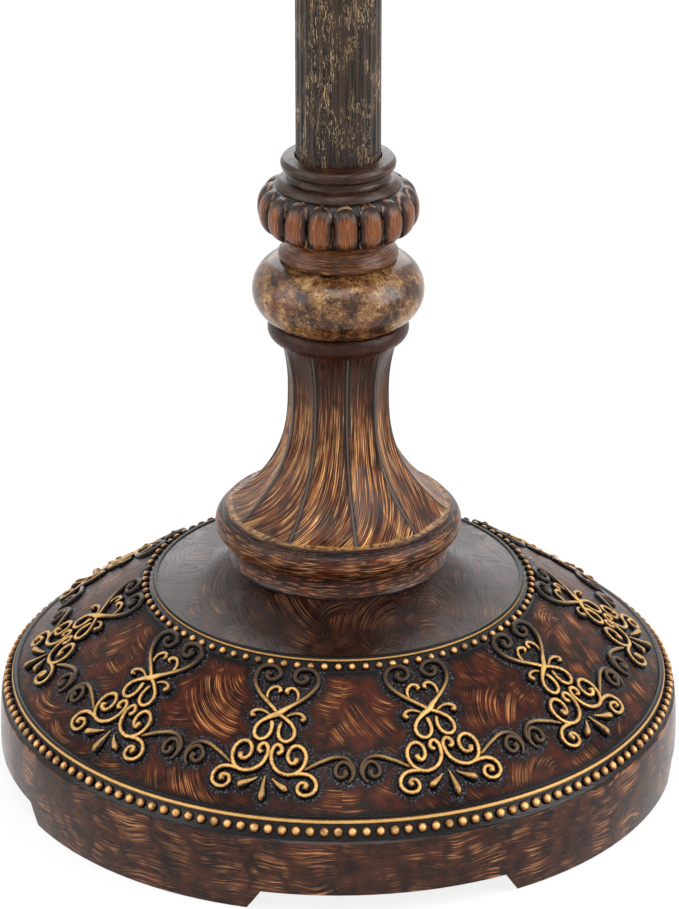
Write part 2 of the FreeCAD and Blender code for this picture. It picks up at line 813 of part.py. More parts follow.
def fluted_tube(label, height, plain_foot, plain_top):
    """Steel tube with shallow flutes between two plain ends."""
    body = new_body(label, height)
    wall = sketch_on(body, "XY_Plane")
    draw_circle(wall, 0, 0, S.tube_radius)
    draw_circle(wall, 0, 0, S.tube_radius - S.tube_wall)
    pad(body, wall, S.tube_length)
    flutes = sketch_on(body, "XY_Plane", plain_foot)
    draw_circle(flutes, S.tube_radius + S.tube_flute_radius - S.tube_flute_depth, 0,
                S.tube_flute_radius)
    flute = pocket(body, flutes, S.tube_length - plain_foot - plain_top, Reversed=True)
    repeat_around(body, flute, S.tube_flutes, (flutes, ["N_Axis"]))
    return body


def tube_plug(label, height):
    """Steel plug in a tube's end, threaded for the pipe."""
    return ring(label, thread_hole, S.tube_radius - S.tube_wall - S.fit_gap, S.plug_length, height)


def tube_coupling():
    """Coupling between the two tubes, with a turned ring that shows."""
    spigot = S.tube_radius - S.tube_wall - S.fit_gap
    flange_top = S.coupling_spigot + S.coupling_flange_height
    return turned("tube_coupling", [
        (S.coupling_bore_radius, 0),
        (spigot, 0),
        (spigot, S.coupling_spigot),
        (S.tube_radius, S.coupling_spigot, S.coupling_flange_radius - S.tube_radius),
        (S.tube_radius, flange_top),
        (spigot, flange_top),
        (spigot, flange_top + S.coupling_spigot),
        (S.coupling_bore_radius, flange_top + S.coupling_spigot),
    ], tube_foot + S.tube_length - S.coupling_spigot)


# ---------------------------------------------------------------- drip pan, saddle, harp and sleeves


def drip_pan():
    """Shallow dish on the candle cup, with a rolled lip."""
    edge_top = S.pan_thickness + S.pan_rise
    return turned("drip_pan", [
        (pipe_hole, 0),
        (S.pan_foot_radius, 0),
        (S.pan_radius, S.pan_rise, S.pan_lip_swell),
        (S.pan_radius - S.pan_thickness / 2, edge_top),
        (S.pan_foot_radius, S.pan_thickness),
        (pipe_hole, S.pan_thickness),
    ], pan_foot)


def harp_saddle():
    """U-shaped strap under the socket, with a peg on each arm for the harp."""
    body = new_body("harp_saddle", saddle_foot)
    half = S.strap_thickness / 2
    outer, inner = S.leg_spread + half, S.leg_spread - half
    strap = sketch_on(body, "XZ_Plane")
    draw_path(strap, [
        (-outer, 0), (outer, 0), (outer, S.strap_arm_height), (inner, S.strap_arm_height),
        (inner, S.strap_thickness), (-inner, S.strap_thickness), (-inner, S.strap_arm_height),
        (-outer, S.strap_arm_height),
    ])
    pad(body, strap, S.strap_width, SideType="Symmetric")
    centre = sketch_on(body, "XY_Plane")
    draw_circle(centre, 0, 0, S.strap_centre_radius)
    pad(body, centre, S.strap_thickness)
    bore = sketch_on(body, "XY_Plane")
    draw_circle(bore, 0, 0, pipe_hole)
    pocket(body, bore, S.strap_thickness, Reversed=True)
    pegs = sketch_on(body, "XY_Plane", S.strap_arm_height)
    draw_circle(pegs, S.leg_spread, 0, S.peg_radius)
    draw_circle(pegs, -S.leg_spread, 0, S.peg_radius)
    pad(body, pegs, S.peg_height)
    return body


def harp():
    """Bent wire loop that carries the shade, with feet for the saddle and a stud on top."""
    body = new_body("harp", harp_foot)
    flare_foot = S.leg_straight
    flare_top = flare_foot + S.harp_flare_height
    side_top = flare_top + S.harp_side_height
    half_x, half_z = (S.harp_spread - S.leg_spread) / 2, S.harp_flare_height / 2
    bend = (half_x * half_x + half_z * half_z) / (half_x * 2)
    rise = arc_rise(bend, (0, 0), (half_x, half_z))
    crown = arc_rise(S.harp_spread, (0, 0), (S.harp_spread, S.harp_spread))
    middle = S.leg_spread + half_x
    way = sketch_on(body, "XZ_Plane")
    draw_path(way, [
        (S.leg_spread, 0),
        (S.leg_spread, flare_foot, -rise),
        (middle, flare_foot + half_z, rise),
        (S.harp_spread, flare_top),
        (S.harp_spread, side_top, crown),
        (0, side_top + S.harp_spread, crown),
        (-S.harp_spread, side_top),
        (-S.harp_spread, flare_top, rise),
        (-middle, flare_foot + half_z, -rise),
        (-S.leg_spread, flare_foot),
        (-S.leg_spread, 0),
    ], closed=False)
    section = sketch_on(body, "XY_Plane")
    draw_circle(section, S.leg_spread, 0, S.wire_radius)
    add_feature(body, "AdditivePipe", section, Spine=way)
    feet = sketch_on(body, "XY_Plane")
    draw_circle(feet, S.leg_spread, 0, S.peg_radius)
    draw_circle(feet, -S.leg_spread, 0, S.peg_radius)
    pad(body, feet, S.harp_foot_height)
    loop_top = side_top + S.harp_spread
    disc = sketch_on(body, "XY_Plane", loop_top)
    draw_circle(disc, 0, 0, S.harp_disc_radius)
    pad(body, disc, S.wire_radius + S.harp_disc_thickness)
    stud = sketch_on(body, "XY_Plane", loop_top)
    draw_circle(stud, 0, 0, S.stud_radius)
    pad(body, stud, S.wire_radius + S.harp_disc_thickness + S.stud_height)
    return body


def harp_sleeve(label, side):
    """Brass sleeve that locks one harp foot on its peg."""
    body = new_body(label, saddle_foot + S.strap_arm_height)
    body.setExpression("Placement.Base.x", (S.leg_spread * side).formula)
    wall = sketch_on(body, "XY_Plane")
    draw_circle(wall, 0, 0, S.sleeve_radius)
    draw_circle(wall, 0, 0, S.peg_radius + S.fit_gap)
    pad(body, wall, S.sleeve_height)
    return body


# ---------------------------------------------------------------- socket and switch


def socket_cap():
    """Spun brass cap that closes the foot of the socket."""
    inner = S.cap_radius - S.cap_wall
    return turned("socket_cap", [
        (thread_hole, 0),
        (S.cap_neck_radius, 0),
        (S.cap_neck_radius, S.cap_neck_height, S.cap_wall),
        (S.cap_radius, S.shell_foot_height),
        (S.cap_radius, S.cap_height),
        (inner, S.cap_height),
        (inner, S.shell_foot_height),
        (thread_hole, S.shell_foot_height - S.cap_wall),
    ], cap_foot)


def side_hole(body, height, radius, reach):
    """Cuts the round hole for the switch from the axis to the front."""
    hole = sketch_on(body, "XZ_Plane")
    draw_circle(hole, 0, height, radius)
    pocket(body, hole, reach, Reversed=True)


def socket_shell():
    """Brass shell round the socket."""
    body = ring("socket_shell", S.shell_radius - S.shell_thickness, S.shell_radius, S.shell_height,
                shell_foot)
    side_hole(body, block_foot + S.switch_height - shell_foot, S.switch_hole_radius, S.cap_radius)
    return body


def socket_liner():
    """Insulating paper liner inside the shell."""
    outer = S.shell_radius - S.shell_thickness - S.fit_gap
    body = ring("socket_liner", outer - S.liner_thickness, outer, S.shell_height, shell_foot)
    side_hole(body, block_foot + S.switch_height - shell_foot, S.switch_hole_radius, S.cap_radius)
    return body


def socket_interior():
    """Switch block that carries the screw shell."""
    outer = S.shell_radius - S.shell_thickness - S.liner_thickness - S.fit_gap * 2
    body = new_body("socket_interior", block_foot)
    outline = sketch_on(body, "XY_Plane")
    draw_circle(outline, 0, 0, outer)
    pad(body, outline, S.block_height)
    side_hole(body, S.switch_height, S.shaft_radius + S.fit_gap, S.cap_radius)
    return body


def screw_shell():
    """Threaded shell that takes the bulb, with a flange on the block."""
    inner = S.thread_radius - S.thread_thickness
    return turned("screw_shell", [
        (S.thread_foot_bore_radius, 0),
        (S.thread_radius, 0),
        (S.thread_radius, S.thread_height),
        (inner, S.thread_height),
        (inner, S.thread_thickness),
        (S.thread_foot_bore_radius, S.thread_thickness),
    ], block_top)


def switch_shaft():
    """Shaft of the turn switch, towards the front."""
    body = new_body("switch_shaft", block_foot + S.switch_height)
    section = sketch_on(body, "XZ_Plane", S.shaft_inner)
    draw_circle(section, 0, 0, S.shaft_radius)
    pad(body, section, S.shaft_outer - S.shaft_inner)
    return body


def switch_knob():
    """Ribbed knob on the end of the shaft."""
    body = new_body("switch_knob", block_foot + S.switch_height)
    knob_back = S.shaft_outer - S.knob_grip
    section = sketch_on(body, "XZ_Plane", knob_back)
    draw_circle(section, 0, 0, S.knob_radius)
    pad(body, section, S.knob_length)
    bore = sketch_on(body, "XZ_Plane", knob_back)
    draw_circle(bore, 0, 0, S.shaft_radius + S.fit_gap)
    pocket(body, bore, S.knob_grip, Reversed=True)
    grips = sketch_on(body, "XZ_Plane", knob_back)
    draw_circle(grips, S.knob_radius + S.knob_flute_radius / 2, 0, S.knob_flute_radius)
    grip = pocket(body, grips, S.knob_length, Reversed=True)
    repeat_around(body, grip, S.knob_flutes, (grips, ["N_Axis"]))
    return body


# ---------------------------------------------------------------- bulb

bulb_foot = block_top + S.contact_height + S.seat_gap
insulator_foot = bulb_foot + S.bulb_contact_height
bulb_cap_foot = insulator_foot + S.insulator_height
globe_foot = bulb_cap_foot + S.bulb_cap_height


def bulb_insulator():
    """Black glass insulator between the bulb's cap and its contact."""
    return turned("bulb_insulator", [
        (0, 0),
        (S.insulator_foot_radius, 0),
        (S.insulator_radius, S.insulator_height),
        (0, S.insulator_height),
    ], insulator_foot)


def bulb_cap():
    """Metal cap of the bulb."""
    inner = S.bulb_cap_radius - S.bulb_cap_wall
    shoulder = S.bulb_cap_radius - S.insulator_radius
    return turned("bulb_cap", [
        (0, 0),
        (S.insulator_radius, 0),
        (S.bulb_cap_radius, shoulder),
        (S.bulb_cap_radius, S.bulb_cap_height),
        (inner, S.bulb_cap_height),
        (inner, shoulder + S.bulb_cap_wall),
        (0, shoulder + S.bulb_cap_wall),
    ], bulb_cap_foot)


def bulb_globe():
    """Hollow glass envelope of the bulb: a ball on a tapering neck."""
    def pole(radius):
        """Edge of the small flat on top of a ball of this radius."""
        height = (radius * radius - S.pole_flat * S.pole_flat).root()
        return S.pole_flat, S.globe_centre_height + height

    shoulder = S.globe_centre_height - S.globe_radius / 2
    inner_radius = S.globe_radius - S.glass_thickness
    outer_shoulder = (S.globe_radius * math.cos(math.pi / 6), shoulder)
    inner_shoulder = (inner_radius * math.cos(math.pi / 6), shoulder)
    outer_top = pole(S.globe_radius)
    inner_top = pole(inner_radius)
    return turned("bulb_globe", [
        (S.globe_neck_radius - S.glass_thickness, 0),
        (S.globe_neck_radius, 0),
        (*outer_shoulder, arc_rise(S.globe_radius, outer_shoulder, outer_top)),
        outer_top,
        (0, outer_top[1]),
        (0, inner_top[1]),
        (*inner_top, -arc_rise(inner_radius, inner_top, inner_shoulder)),
        inner_shoulder,
    ], globe_foot)


# ---------------------------------------------------------------- shade and finial


def shade_radius(drop):
    """Radius of the shade's frame at a distance below its top."""
    return S.shade_top_radius + (S.shade_bottom_radius - S.shade_top_radius) * drop / S.shade_height


def ring_axis_radius(drop):
    """Radius of a wire ring that lies against the inside of the shade's cone."""
    flare = (S.shade_bottom_radius - S.shade_top_radius) / S.shade_height
    return shade_radius(drop) - S.ring_wire_radius * (flare * flare + 1).root()


def wire_ring(body, drop, height):
    """A wire ring about the lamp's axis, at a distance below the shade's top."""
    section = sketch_on(body, "XZ_Plane")
    draw_circle(section, ring_axis_radius(drop), height, S.ring_wire_radius)
    return revolve(body, section)


def shade_spider():
    """Washer, arms and top ring of the shade's frame."""
    body = new_body("shade_spider", washer_seat)
    washer = sketch_on(body, "XY_Plane")
    draw_circle(washer, 0, 0, S.spider_washer_radius)
    pad(body, washer, S.spider_washer_thickness)
    hole = sketch_on(body, "XY_Plane")
    draw_circle(hole, 0, 0, S.stud_radius + S.fit_gap)
    pocket(body, hole, S.spider_washer_thickness, Reversed=True)
    wire_ring(body, S.ring_wire_radius, S.spider_drop - S.ring_wire_radius)
    arm_start = S.spider_washer_radius - S.spider_wire_radius
    ring_axis = ring_axis_radius(S.ring_wire_radius)
    bend = ring_axis * 3 / 4
    level = S.spider_washer_thickness / 2
    way = sketch_on(body, "XZ_Plane")
    draw_path(way, [(arm_start, level), (bend, level, S.spider_wire_radius),
                    (ring_axis, S.spider_drop - S.ring_wire_radius)], closed=False)
    section = sketch_on(body, "YZ_Plane", arm_start)
    draw_circle(section, 0, level, S.spider_wire_radius)
    arm = add_feature(body, "AdditivePipe", section, Spine=way)
    repeat_around(body, arm, S.spider_arms, (way, ["V_Axis"]))
    return body


def shade_bottom_ring():
    """Wire ring at the foot of the shade."""
    body = new_body("shade_bottom_ring", shade_foot)
    wire_ring(body, S.shade_height - S.ring_wire_radius, S.ring_wire_radius)
    return body


def shade_ribs():
    """Flat wires between the two rings, just inside the fabric."""
    body = new_body("shade_ribs", shade_top)
    margin = S.ring_wire_radius * 2 + S.fit_gap
    section = sketch_on(body, "XZ_Plane")
    corners = []
    for drop in (margin, S.shade_height - margin):
        corners += [(shade_radius(drop) - S.rib_thickness, -drop), (shade_radius(drop), -drop)]
    draw_path(section, [corners[2], corners[3], corners[1], corners[0]])
    rib = pad(body, section, S.rib_width, SideType="Symmetric")
    repeat_around(body, rib, S.ribs, (section, ["V_Axis"]))
    return body


def cone_band(label, top_drop, height, gap, thickness):
    """A band of the shade's cone: gap and thickness are outwards from the frame."""
    body = new_body(label, shade_top)
    foot_drop = top_drop + height
    section = sketch_on(body, "XZ_Plane")
    draw_path(section, [
        (shade_radius(foot_drop) + gap, -foot_drop),
        (shade_radius(foot_drop) + gap + thickness, -foot_drop),
        (shade_radius(top_drop) + gap + thickness, -top_drop),
        (shade_radius(top_drop) + gap, -top_drop),
    ])
    revolve(body, section)
    return body


def finial():
    """Turned knob that holds the shade on the harp."""
    ball_foot = S.finial_base_height + S.finial_neck_height
    ball_top = ball_foot + S.finial_ball_height
    top = ball_top + S.finial_tip_height
    bore = S.stud_radius + S.fit_gap
    return turned("finial", [
        (bore, 0),
        (S.finial_base_radius, 0, S.finial_base_height / 4),
        (S.finial_base_radius, S.finial_base_height, -S.finial_base_height / 2),
        (S.finial_neck_radius, ball_foot, S.finial_ball_radius - S.finial_neck_radius),
        (S.finial_neck_radius, ball_top),
        (S.finial_tip_radius, ball_top, S.finial_tip_radius / 2),
        (S.pole_flat, top),
        (0, top),
        (0, S.finial_bore_depth),
        (bore, S.finial_bore_depth),
    ], washer_seat + S.spider_washer_thickness)


# ---------------------------------------------------------------- the assembly


def build():
    """Makes every piece, from the floor to the finial."""
    nut_foot = S.ballast_foot_height - S.washer_thickness - S.nut_height
    ledge = S.tube_band + S.tube_recess_depth
    yield foot_pads()
    yield base_casting()
    yield ring("ballast_disc", pipe_hole, S.ballast_radius, S.ballast_thickness,
               S.ballast_foot_height)
    yield ring("base_washer", pipe_hole, S.washer_radius, S.washer_thickness,
               S.ballast_foot_height - S.washer_thickness)
    yield base_nut()
    yield bottom_cover()
    yield cover_screws()
    yield cord_bushing()
    yield pipe("lower_rod", nut_foot - S.pipe_below_nut, tube_foot + S.plug_inset + S.plug_length)
    yield fluted_vase("pedestal_casting", "pedestal", pedestal_foot)
    yield stone_ring("stone_ring", stone_foot)
    yield gadroon_collar("gadroon_collar", collar_foot)
    yield tube_plug("lower_plug", tube_foot + S.plug_inset)
    yield fluted_tube("lower_tube", tube_foot, ledge, S.tube_band)
    yield tube_coupling()
    yield fluted_tube("upper_tube", upper_tube_foot, S.tube_band, ledge)
    yield tube_plug("upper_plug", tube_top - S.plug_inset - S.plug_length)
    yield pipe("upper_rod", tube_top - S.plug_inset - S.plug_length, cap_foot + S.cap_neck_height)
    yield gadroon_collar("upper_collar", upper_stone_foot, flipped=True)
    yield stone_ring("upper_stone_ring", cup_foot, flipped=True)
    yield fluted_vase("candle_cup", "cup", pan_foot, flipped=True)
    yield drip_pan()
    yield harp_saddle()
    yield socket_cap()
    yield socket_shell()
    yield socket_liner()
    yield socket_interior()
    yield screw_shell()
    yield ring("centre_contact", Size(0), S.contact_radius, S.contact_height, block_top)
    yield switch_shaft()
    yield switch_knob()
    yield ring("bulb_contact", Size(0), S.bulb_contact_radius, S.bulb_contact_height, bulb_foot)
    yield bulb_insulator()
    yield bulb_cap()
    yield bulb_globe()
    yield harp()
    yield harp_sleeve("harp_sleeve_left", -1)
    yield harp_sleeve("harp_sleeve_right", 1)
    yield shade_spider()
    yield shade_bottom_ring()
    yield shade_ribs()
    yield cone_band("shade_fabric", Size(0), S.shade_height, S.fabric_gap, S.fabric_thickness)
    trim_gap = S.fabric_gap + S.fabric_thickness + S.seat_gap
    yield cone_band("shade_top_trim", Size(0), S.trim_height, trim_gap, S.trim_thickness)
    yield cone_band("shade_bottom_trim", S.shade_height - S.trim_height, S.trim_height, trim_gap,
                    S.trim_thickness)
    yield finial()


def check(pieces):
    """Stops if any object failed or any piece has no sound shape."""
    for item in lamp.Objects:
        if {"Invalid", "Error"} & set(item.State):
            owners = [owner.Label for owner in item.InList]
            raise ValueError(f"{item.Name} of {owners} failed: {item.State}")
    for piece in pieces:
        if piece.Shape.isNull() or not piece.Shape.isValid() or not piece.Shape.Solids:
            raise ValueError(f"{piece.Label} has no sound shape")


def export(pieces):
    """Writes one file for each piece."""
    os.makedirs("parts", exist_ok=True)
    for piece in pieces:
        piece.Shape.exportStep(f"parts/{piece.Label}.step")
        box = piece.Shape.BoundBox
        print(f"{piece.Label:20} {len(piece.Shape.Solids)} solid(s) {piece.Shape.Volume:12.1f} mm3 "
              f"z {box.ZMin:8.2f} to {box.ZMax:8.2f} r {box.XMax:7.2f}")


made = list(build())
lamp.recompute()
check(made)
export(made)
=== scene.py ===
"""The look of the candlestick floor lamp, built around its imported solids.

Sizes in this file are millimetres. A mesh is made in millimetres and brought to metres once, when it
becomes an object. Angles about the lamp's axis are counted from the front, positive to the right.
"""

import logging
import math
from collections.abc import Sequence
from dataclasses import dataclass, field
from enum import Enum

import bmesh
import bpy
import numpy as np
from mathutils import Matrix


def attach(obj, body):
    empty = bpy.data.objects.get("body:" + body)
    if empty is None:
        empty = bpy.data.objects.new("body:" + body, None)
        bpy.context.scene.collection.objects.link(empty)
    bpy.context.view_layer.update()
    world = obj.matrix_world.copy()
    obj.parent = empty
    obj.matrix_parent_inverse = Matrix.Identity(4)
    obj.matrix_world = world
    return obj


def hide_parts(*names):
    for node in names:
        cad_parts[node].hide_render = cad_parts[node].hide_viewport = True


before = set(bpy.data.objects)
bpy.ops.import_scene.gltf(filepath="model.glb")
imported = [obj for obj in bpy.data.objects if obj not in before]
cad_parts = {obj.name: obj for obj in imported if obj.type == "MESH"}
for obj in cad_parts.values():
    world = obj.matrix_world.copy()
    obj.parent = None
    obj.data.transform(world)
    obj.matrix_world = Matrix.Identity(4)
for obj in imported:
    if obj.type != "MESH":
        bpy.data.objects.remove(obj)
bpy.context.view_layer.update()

MM = 0.001
TURN = 2 * math.pi
PHOTO_WIDTH, PHOTO_HEIGHT = 679, 909
PIPE_HOLE = 5.5    # radius of the hole for the threaded pipe

log = logging.getLogger("lamp")

Array = np.ndarray
Node, Socket, Tree = bpy.types.Node, bpy.types.NodeSocket, bpy.types.NodeTree
Thing = bpy.types.Object
Point = tuple[float, float]


# ---------------------------------------------------------------- nodes and colours


def linear(hex_colour: str) -> tuple[float, float, float, float]:
    """Turns an sRGB hex colour into linear values.

    Args:
        hex_colour: six hex digits after a hash sign.

    Returns:
        Red, green, blue and a full alpha.
    """
    shares = [int(hex_colour[i:i + 2], 16) / 255 for i in (1, 3, 5)]
    values = [s / 12.92 if s <= 0.04045 else ((s + 0.055) / 1.055) ** 2.4 for s in shares]
    return (*values, 1.0)


def plug(made: Node, sockets: dict) -> None:
    """Links or sets the inputs of a node.

    Args:
        made: the node.
        sockets: a value, a socket or a node (its first output in use) for each input, by name or
            number. A hex colour is turned to linear values.
    """
    for key, value in sockets.items():
        if isinstance(value, Node):
            value = next(output for output in value.outputs if output.enabled)
        if isinstance(value, Socket):
            made.id_data.links.new(value, made.inputs[key])
        elif isinstance(value, str) and value.startswith("#"):
            made.inputs[key].default_value = linear(value)
        else:
            made.inputs[key].default_value = value


def node(near: Tree | Node | Socket, kind: str, sockets: dict | None = None,
         stops: Sequence[tuple[float, str]] = (), **settings) -> Node:
    """Adds a node with its settings and links.

    Args:
        near: the tree that gets the node, or something in it.
        kind: the node's type name, without ShaderNode for a node of a material.
        sockets: what goes into its inputs, as plug takes it.
        stops: places and hex colours of a colour ramp.
        **settings: the node's own properties.

    Returns:
        The new node.
    """
    made = near.id_data.nodes.new(kind if "Node" in kind else f"ShaderNode{kind}")
    for name, value in settings.items():
        setattr(made, name, value)
    plug(made, sockets or {})
    if stops:
        elements = made.color_ramp.elements
        while len(elements) < len(stops):
            elements.new(1.0)
        for element, (place, colour) in zip(elements, stops):
            element.position = place
            element.color = linear(colour)
    return made


def blank_tree(block: bpy.types.Material | bpy.types.World) -> Tree:
    """Gives a material's or a world's node tree, with no nodes in it.

    Args:
        block: the material or the world.

    Returns:
        Its tree.
    """
    block.use_nodes = True
    block.node_tree.nodes.clear()
    return block.node_tree


class Strokes(Enum):
    """How brush strokes run on a lacquered piece."""

    SWIRLS = "swirls"     # curved dabs, as on the disc and the dome
    RINGS = "rings"       # round the lamp's axis
    FANNED = "fanned"     # as the piece's own attribute says


@dataclass(frozen=True)
class Finish:
    """What every finish has: a name, and a way to make its material."""

    name: str

    def paint(self, shader: Node) -> None:
        """Links the finish's colour, roughness and relief to the shader."""
        raise NotImplementedError

    def material(self) -> bpy.types.Material:
        """Makes the material, or gives the one made before.

        Returns:
            The material, which all pieces with this finish share.
        """
        made = bpy.data.materials.get(self.name)
        if made:
            return made
        made = bpy.data.materials.new(self.name)
        tree = blank_tree(made)
        shader = node(tree, "BsdfPrincipled")
        node(tree, "OutputMaterial", {"Surface": shader})
        self.paint(shader)
        return made


def millimetres(shader: Node) -> Node:
    """Object coordinates in millimetres, in the shader's tree."""
    place = node(shader, "TexCoord")
    return node(place, "VectorMath", {0: place.outputs["Object"], "Scale": 1 / MM}, operation="SCALE")


def product(share: Node | Socket, *others: Node | Socket | float) -> Node:
    """Masks and numbers multiplied with each other.

    Args:
        share: the first of them, which is a mask.
        *others: the rest.

    Returns:
        The node with the last product.
    """
    for other in others:
        share = node(share, "Math", {0: share, 1: other}, operation="MULTIPLY")
    return share


def from_axis(place: Node) -> Node:
    """Distance from the lamp's axis, or from a point that the coordinates start at."""
    flat = node(place, "VectorMath", {0: place, 1: (1.0, 1.0, 0.0)}, operation="MULTIPLY")
    return node(place, "VectorMath", {0: flat}, operation="LENGTH")


def grains(place: Node | Socket, *size: float) -> Node:
    """Coordinates divided by a grain's size, which is one number or one for each axis."""
    shares = [1 / s for s in (size * 3)[:3]]
    return node(place, "VectorMath", {0: place, 1: shares}, operation="MULTIPLY")


def noise(place: Node | Socket, low: float, high: float, *size: float, detail: float = 2.0,
          rough: float = 0.55) -> Node:
    """A noise mask.

    Args:
        place: coordinates of the noise.
        low: the noise at which the mask is 0.
        high: the noise at which the mask is 1.
        *size: a grain's size, one number or one for each axis, where the coordinates aren't in
            grains yet.
        detail: how many finer grains there are on each grain.
        rough: how strong they are.

    Returns:
        The node with the mask.
    """
    if size:
        place = grains(place, *size)
    grain = node(place, "TexNoise",
                 {"Vector": place, "Scale": 1.0, "Detail": detail, "Roughness": rough})
    return node(place, "MapRange", {"Value": grain, "From Min": low, "From Max": high},
                interpolation_type="SMOOTHSTEP")


def stirred(place: Node, size: float, push: tuple[float, float, float], detail: float = 2.0) -> Node:
    """Coordinates pushed about by a noise of one grain size.

    Args:
        place: coordinates in millimetres.
        size: the noise's grain, in millimetres.
        push: how far it pushes along each axis.
        detail: how many finer grains there are on each grain.

    Returns:
        The node with the new coordinates.
    """
    drift = node(place, "TexNoise", {"Vector": grains(place, size), "Scale": 1.0, "Detail": detail})
    return node(place, "VectorMath", {0: drift.outputs["Color"], 1: push, 2: place},
                operation="MULTIPLY_ADD")


def marked(place: Node, mark: str, start: float, end: float, low: float = 0.0, high: float = 1.0,
           ease: str = "SMOOTHSTEP", size: float = 1.0, fray: float = 0.0) -> Node:
    """A mask that goes from low to high between two values of a mesh attribute.

    Args:
        place: coordinates in millimetres.
        mark: the attribute's name.
        start: the value where the mask is low.
        end: the value where it is high.
        low: what the mask gives up to the start.
        high: what it gives past the end.
        ease: how it gets from one to the other.
        size: grain of the noise that frays its border, in millimetres.
        fray: how much of that noise is added to the attribute.

    Returns:
        The node with the mask.
    """
    value = node(place, "Attribute", attribute_name=mark).outputs["Fac"]
    if fray:
        grain = node(place, "TexNoise", {"Vector": grains(place, size), "Scale": 1.0})
        value = node(place, "Math", {0: grain, 1: fray, 2: value}, operation="MULTIPLY_ADD")
    return node(place, "MapRange", {"Value": value, "From Min": start, "From Max": end,
                                   "To Min": low, "To Max": high}, interpolation_type=ease)


def between(value: Node | Socket, start: float, end: float, soft: float) -> Node:
    """A mask that is 1 where a value lies between two limits, with soft ends.

    Args:
        value: the number that is tested.
        start: the lower limit.
        end: the upper limit.
        soft: half the width of each end.

    Returns:
        The node with the mask.
    """
    ends = [node(value, "MapRange", {"Value": value, "From Min": low, "From Max": high},
                 interpolation_type="SMOOTHSTEP")
            for low, high in ((start - soft, start + soft), (end + soft, end - soft))]
    return product(*ends)


def coats(ground: Node | str, *layers: tuple) -> Node | str:
    """Coats of colour over a ground, one after another.

    Args:
        ground: the colour below.
        *layers: how much of a coat shows, and its colour.

    Returns:
        The node with the colour, or the ground where there are no coats.
    """
    for share, colour in layers:
        ground = node(share, "Mix", {0: share, 6: ground, 7: colour}, data_type="RGBA")
    return ground


def seal(shader: Node, height: Node, depth: float, sockets: dict) -> None:
    """Gives the shader its inputs and a relief.

    Args:
        shader: the shader.
        height: the relief's height, from 0 to 1.
        depth: how deep the relief is, in millimetres.
        sockets: the shader's other inputs, as plug takes them.
    """
    relief = node(shader, "Bump", {"Strength": 1.0, "Distance": depth * MM, "Height": height})
    plug(shader, {"Normal": relief, **sockets})


# ---------------------------------------------------------------- shapes


def put(name: str, data: bpy.types.ID) -> Thing:
    """Makes an object of its data and links it to the scene.

    Args:
        name: the object's name.
        data: its mesh, camera or lamp.

    Returns:
        The new object.
    """
    made = bpy.data.objects.new(name, data)
    bpy.context.scene.collection.objects.link(made)
    return made


def keep_mark(mesh: bpy.types.Mesh, mark: str, values: Array) -> None:
    """Keeps one number or three for each point of a mesh, as an attribute.

    Args:
        mesh: the mesh.
        mark: the attribute's name.
        values: one row for each point.
    """
    values = np.asarray(values, np.float32)
    kind, key = ("FLOAT", "value") if values.ndim == 1 else ("FLOAT_VECTOR", "vector")
    mesh.attributes.new(mark, kind, "POINT").data.foreach_set(key, values.ravel())


def make_object(name: str, points: Array, faces: Sequence[Sequence[int]],
                edges: Sequence[Sequence[int]] = (), **marks: Array) -> Thing:
    """Makes a mesh object from points in millimetres.

    Args:
        name: the object's name.
        points: one row for each point.
        faces: the points of each face.
        edges: the points of each loose edge.
        **marks: one number or three for each point, kept as an attribute of that name.

    Returns:
        The new object, linked to the scene.
    """
    mesh = bpy.data.meshes.new(name)
    mesh.from_pydata((np.asarray(points) * MM).tolist(), [tuple(e) for e in edges],
                     [tuple(f) for f in faces])
    for mark, values in marks.items():
        keep_mark(mesh, mark, values)
    return put(name, mesh)


def coat(thing: Thing, finish: Finish) -> None:
    """Gives an object one finish all over."""
    thing.data.materials.clear()
    thing.data.materials.append(finish.material())


def dress(thing: Thing, finish: Finish, body: str, sharp: float = 180.0) -> Thing:
    """Gives a finished piece its shading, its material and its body.

    Args:
        thing: the piece.
        finish: what it is finished with.
        body: the body that it rides on.
        sharp: edges that bend more than this, in degrees, keep a hard shade.

    Returns:
        The piece.
    """
    thing.data.shade_smooth()
    if sharp < 180:
        thing.data.set_sharp_from_angle(angle=math.radians(sharp))
    coat(thing, finish)
    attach(thing, body)
    log.info("%s: %d faces on %s", thing.name, len(thing.data.polygons), body)
    return thing


def reaches(line: Array) -> Array:
    """How far along a line each of its points is."""
    return np.r_[0, np.cumsum(np.linalg.norm(np.diff(line, axis=0), axis=1))]


def around(count: int, first: float = 0.0) -> Array:
    """Evenly spaced angles round the axis in radians, from a first one in degrees."""
    return np.arange(count) / count * TURN + math.radians(first)


def evenly(line: Array, step: float) -> Array:
    """Points a step apart along a line of points.

    Args:
        line: one row for each point.
        step: about how far apart the new points are.

    Returns:
        One row for each new point.
    """
    reach = reaches(line)
    marks = np.linspace(0, reach[-1], max(3, round(reach[-1] / step) + 1))
    return np.column_stack([np.interp(marks, reach, line[:, i]) for i in range(line.shape[1])])


def smooth_line(corners: Sequence[Point], step: float) -> Array:
    """A smooth line through its corners, with points a step apart.

    Args:
        corners: the points that the line passes.
        step: distance between the points of the result.

    Returns:
        One row for each point.
    """
    knots = np.asarray(corners, float)
    ends = np.vstack([2 * knots[0] - knots[1], knots, 2 * knots[-1] - knots[-2]])
    share = np.linspace(0, 1, 24, endpoint=False)[:, None]
    runs = []
    for a, b, c, d in zip(ends, ends[1:], ends[2:], ends[3:]):
        runs.append(0.5 * (2 * b + (c - a) * share + (2 * a - 5 * b + 4 * c - d) * share ** 2
                           + (3 * b - a - 3 * c + d) * share ** 3))
    return evenly(np.vstack([*runs, knots[-1:]]), step)


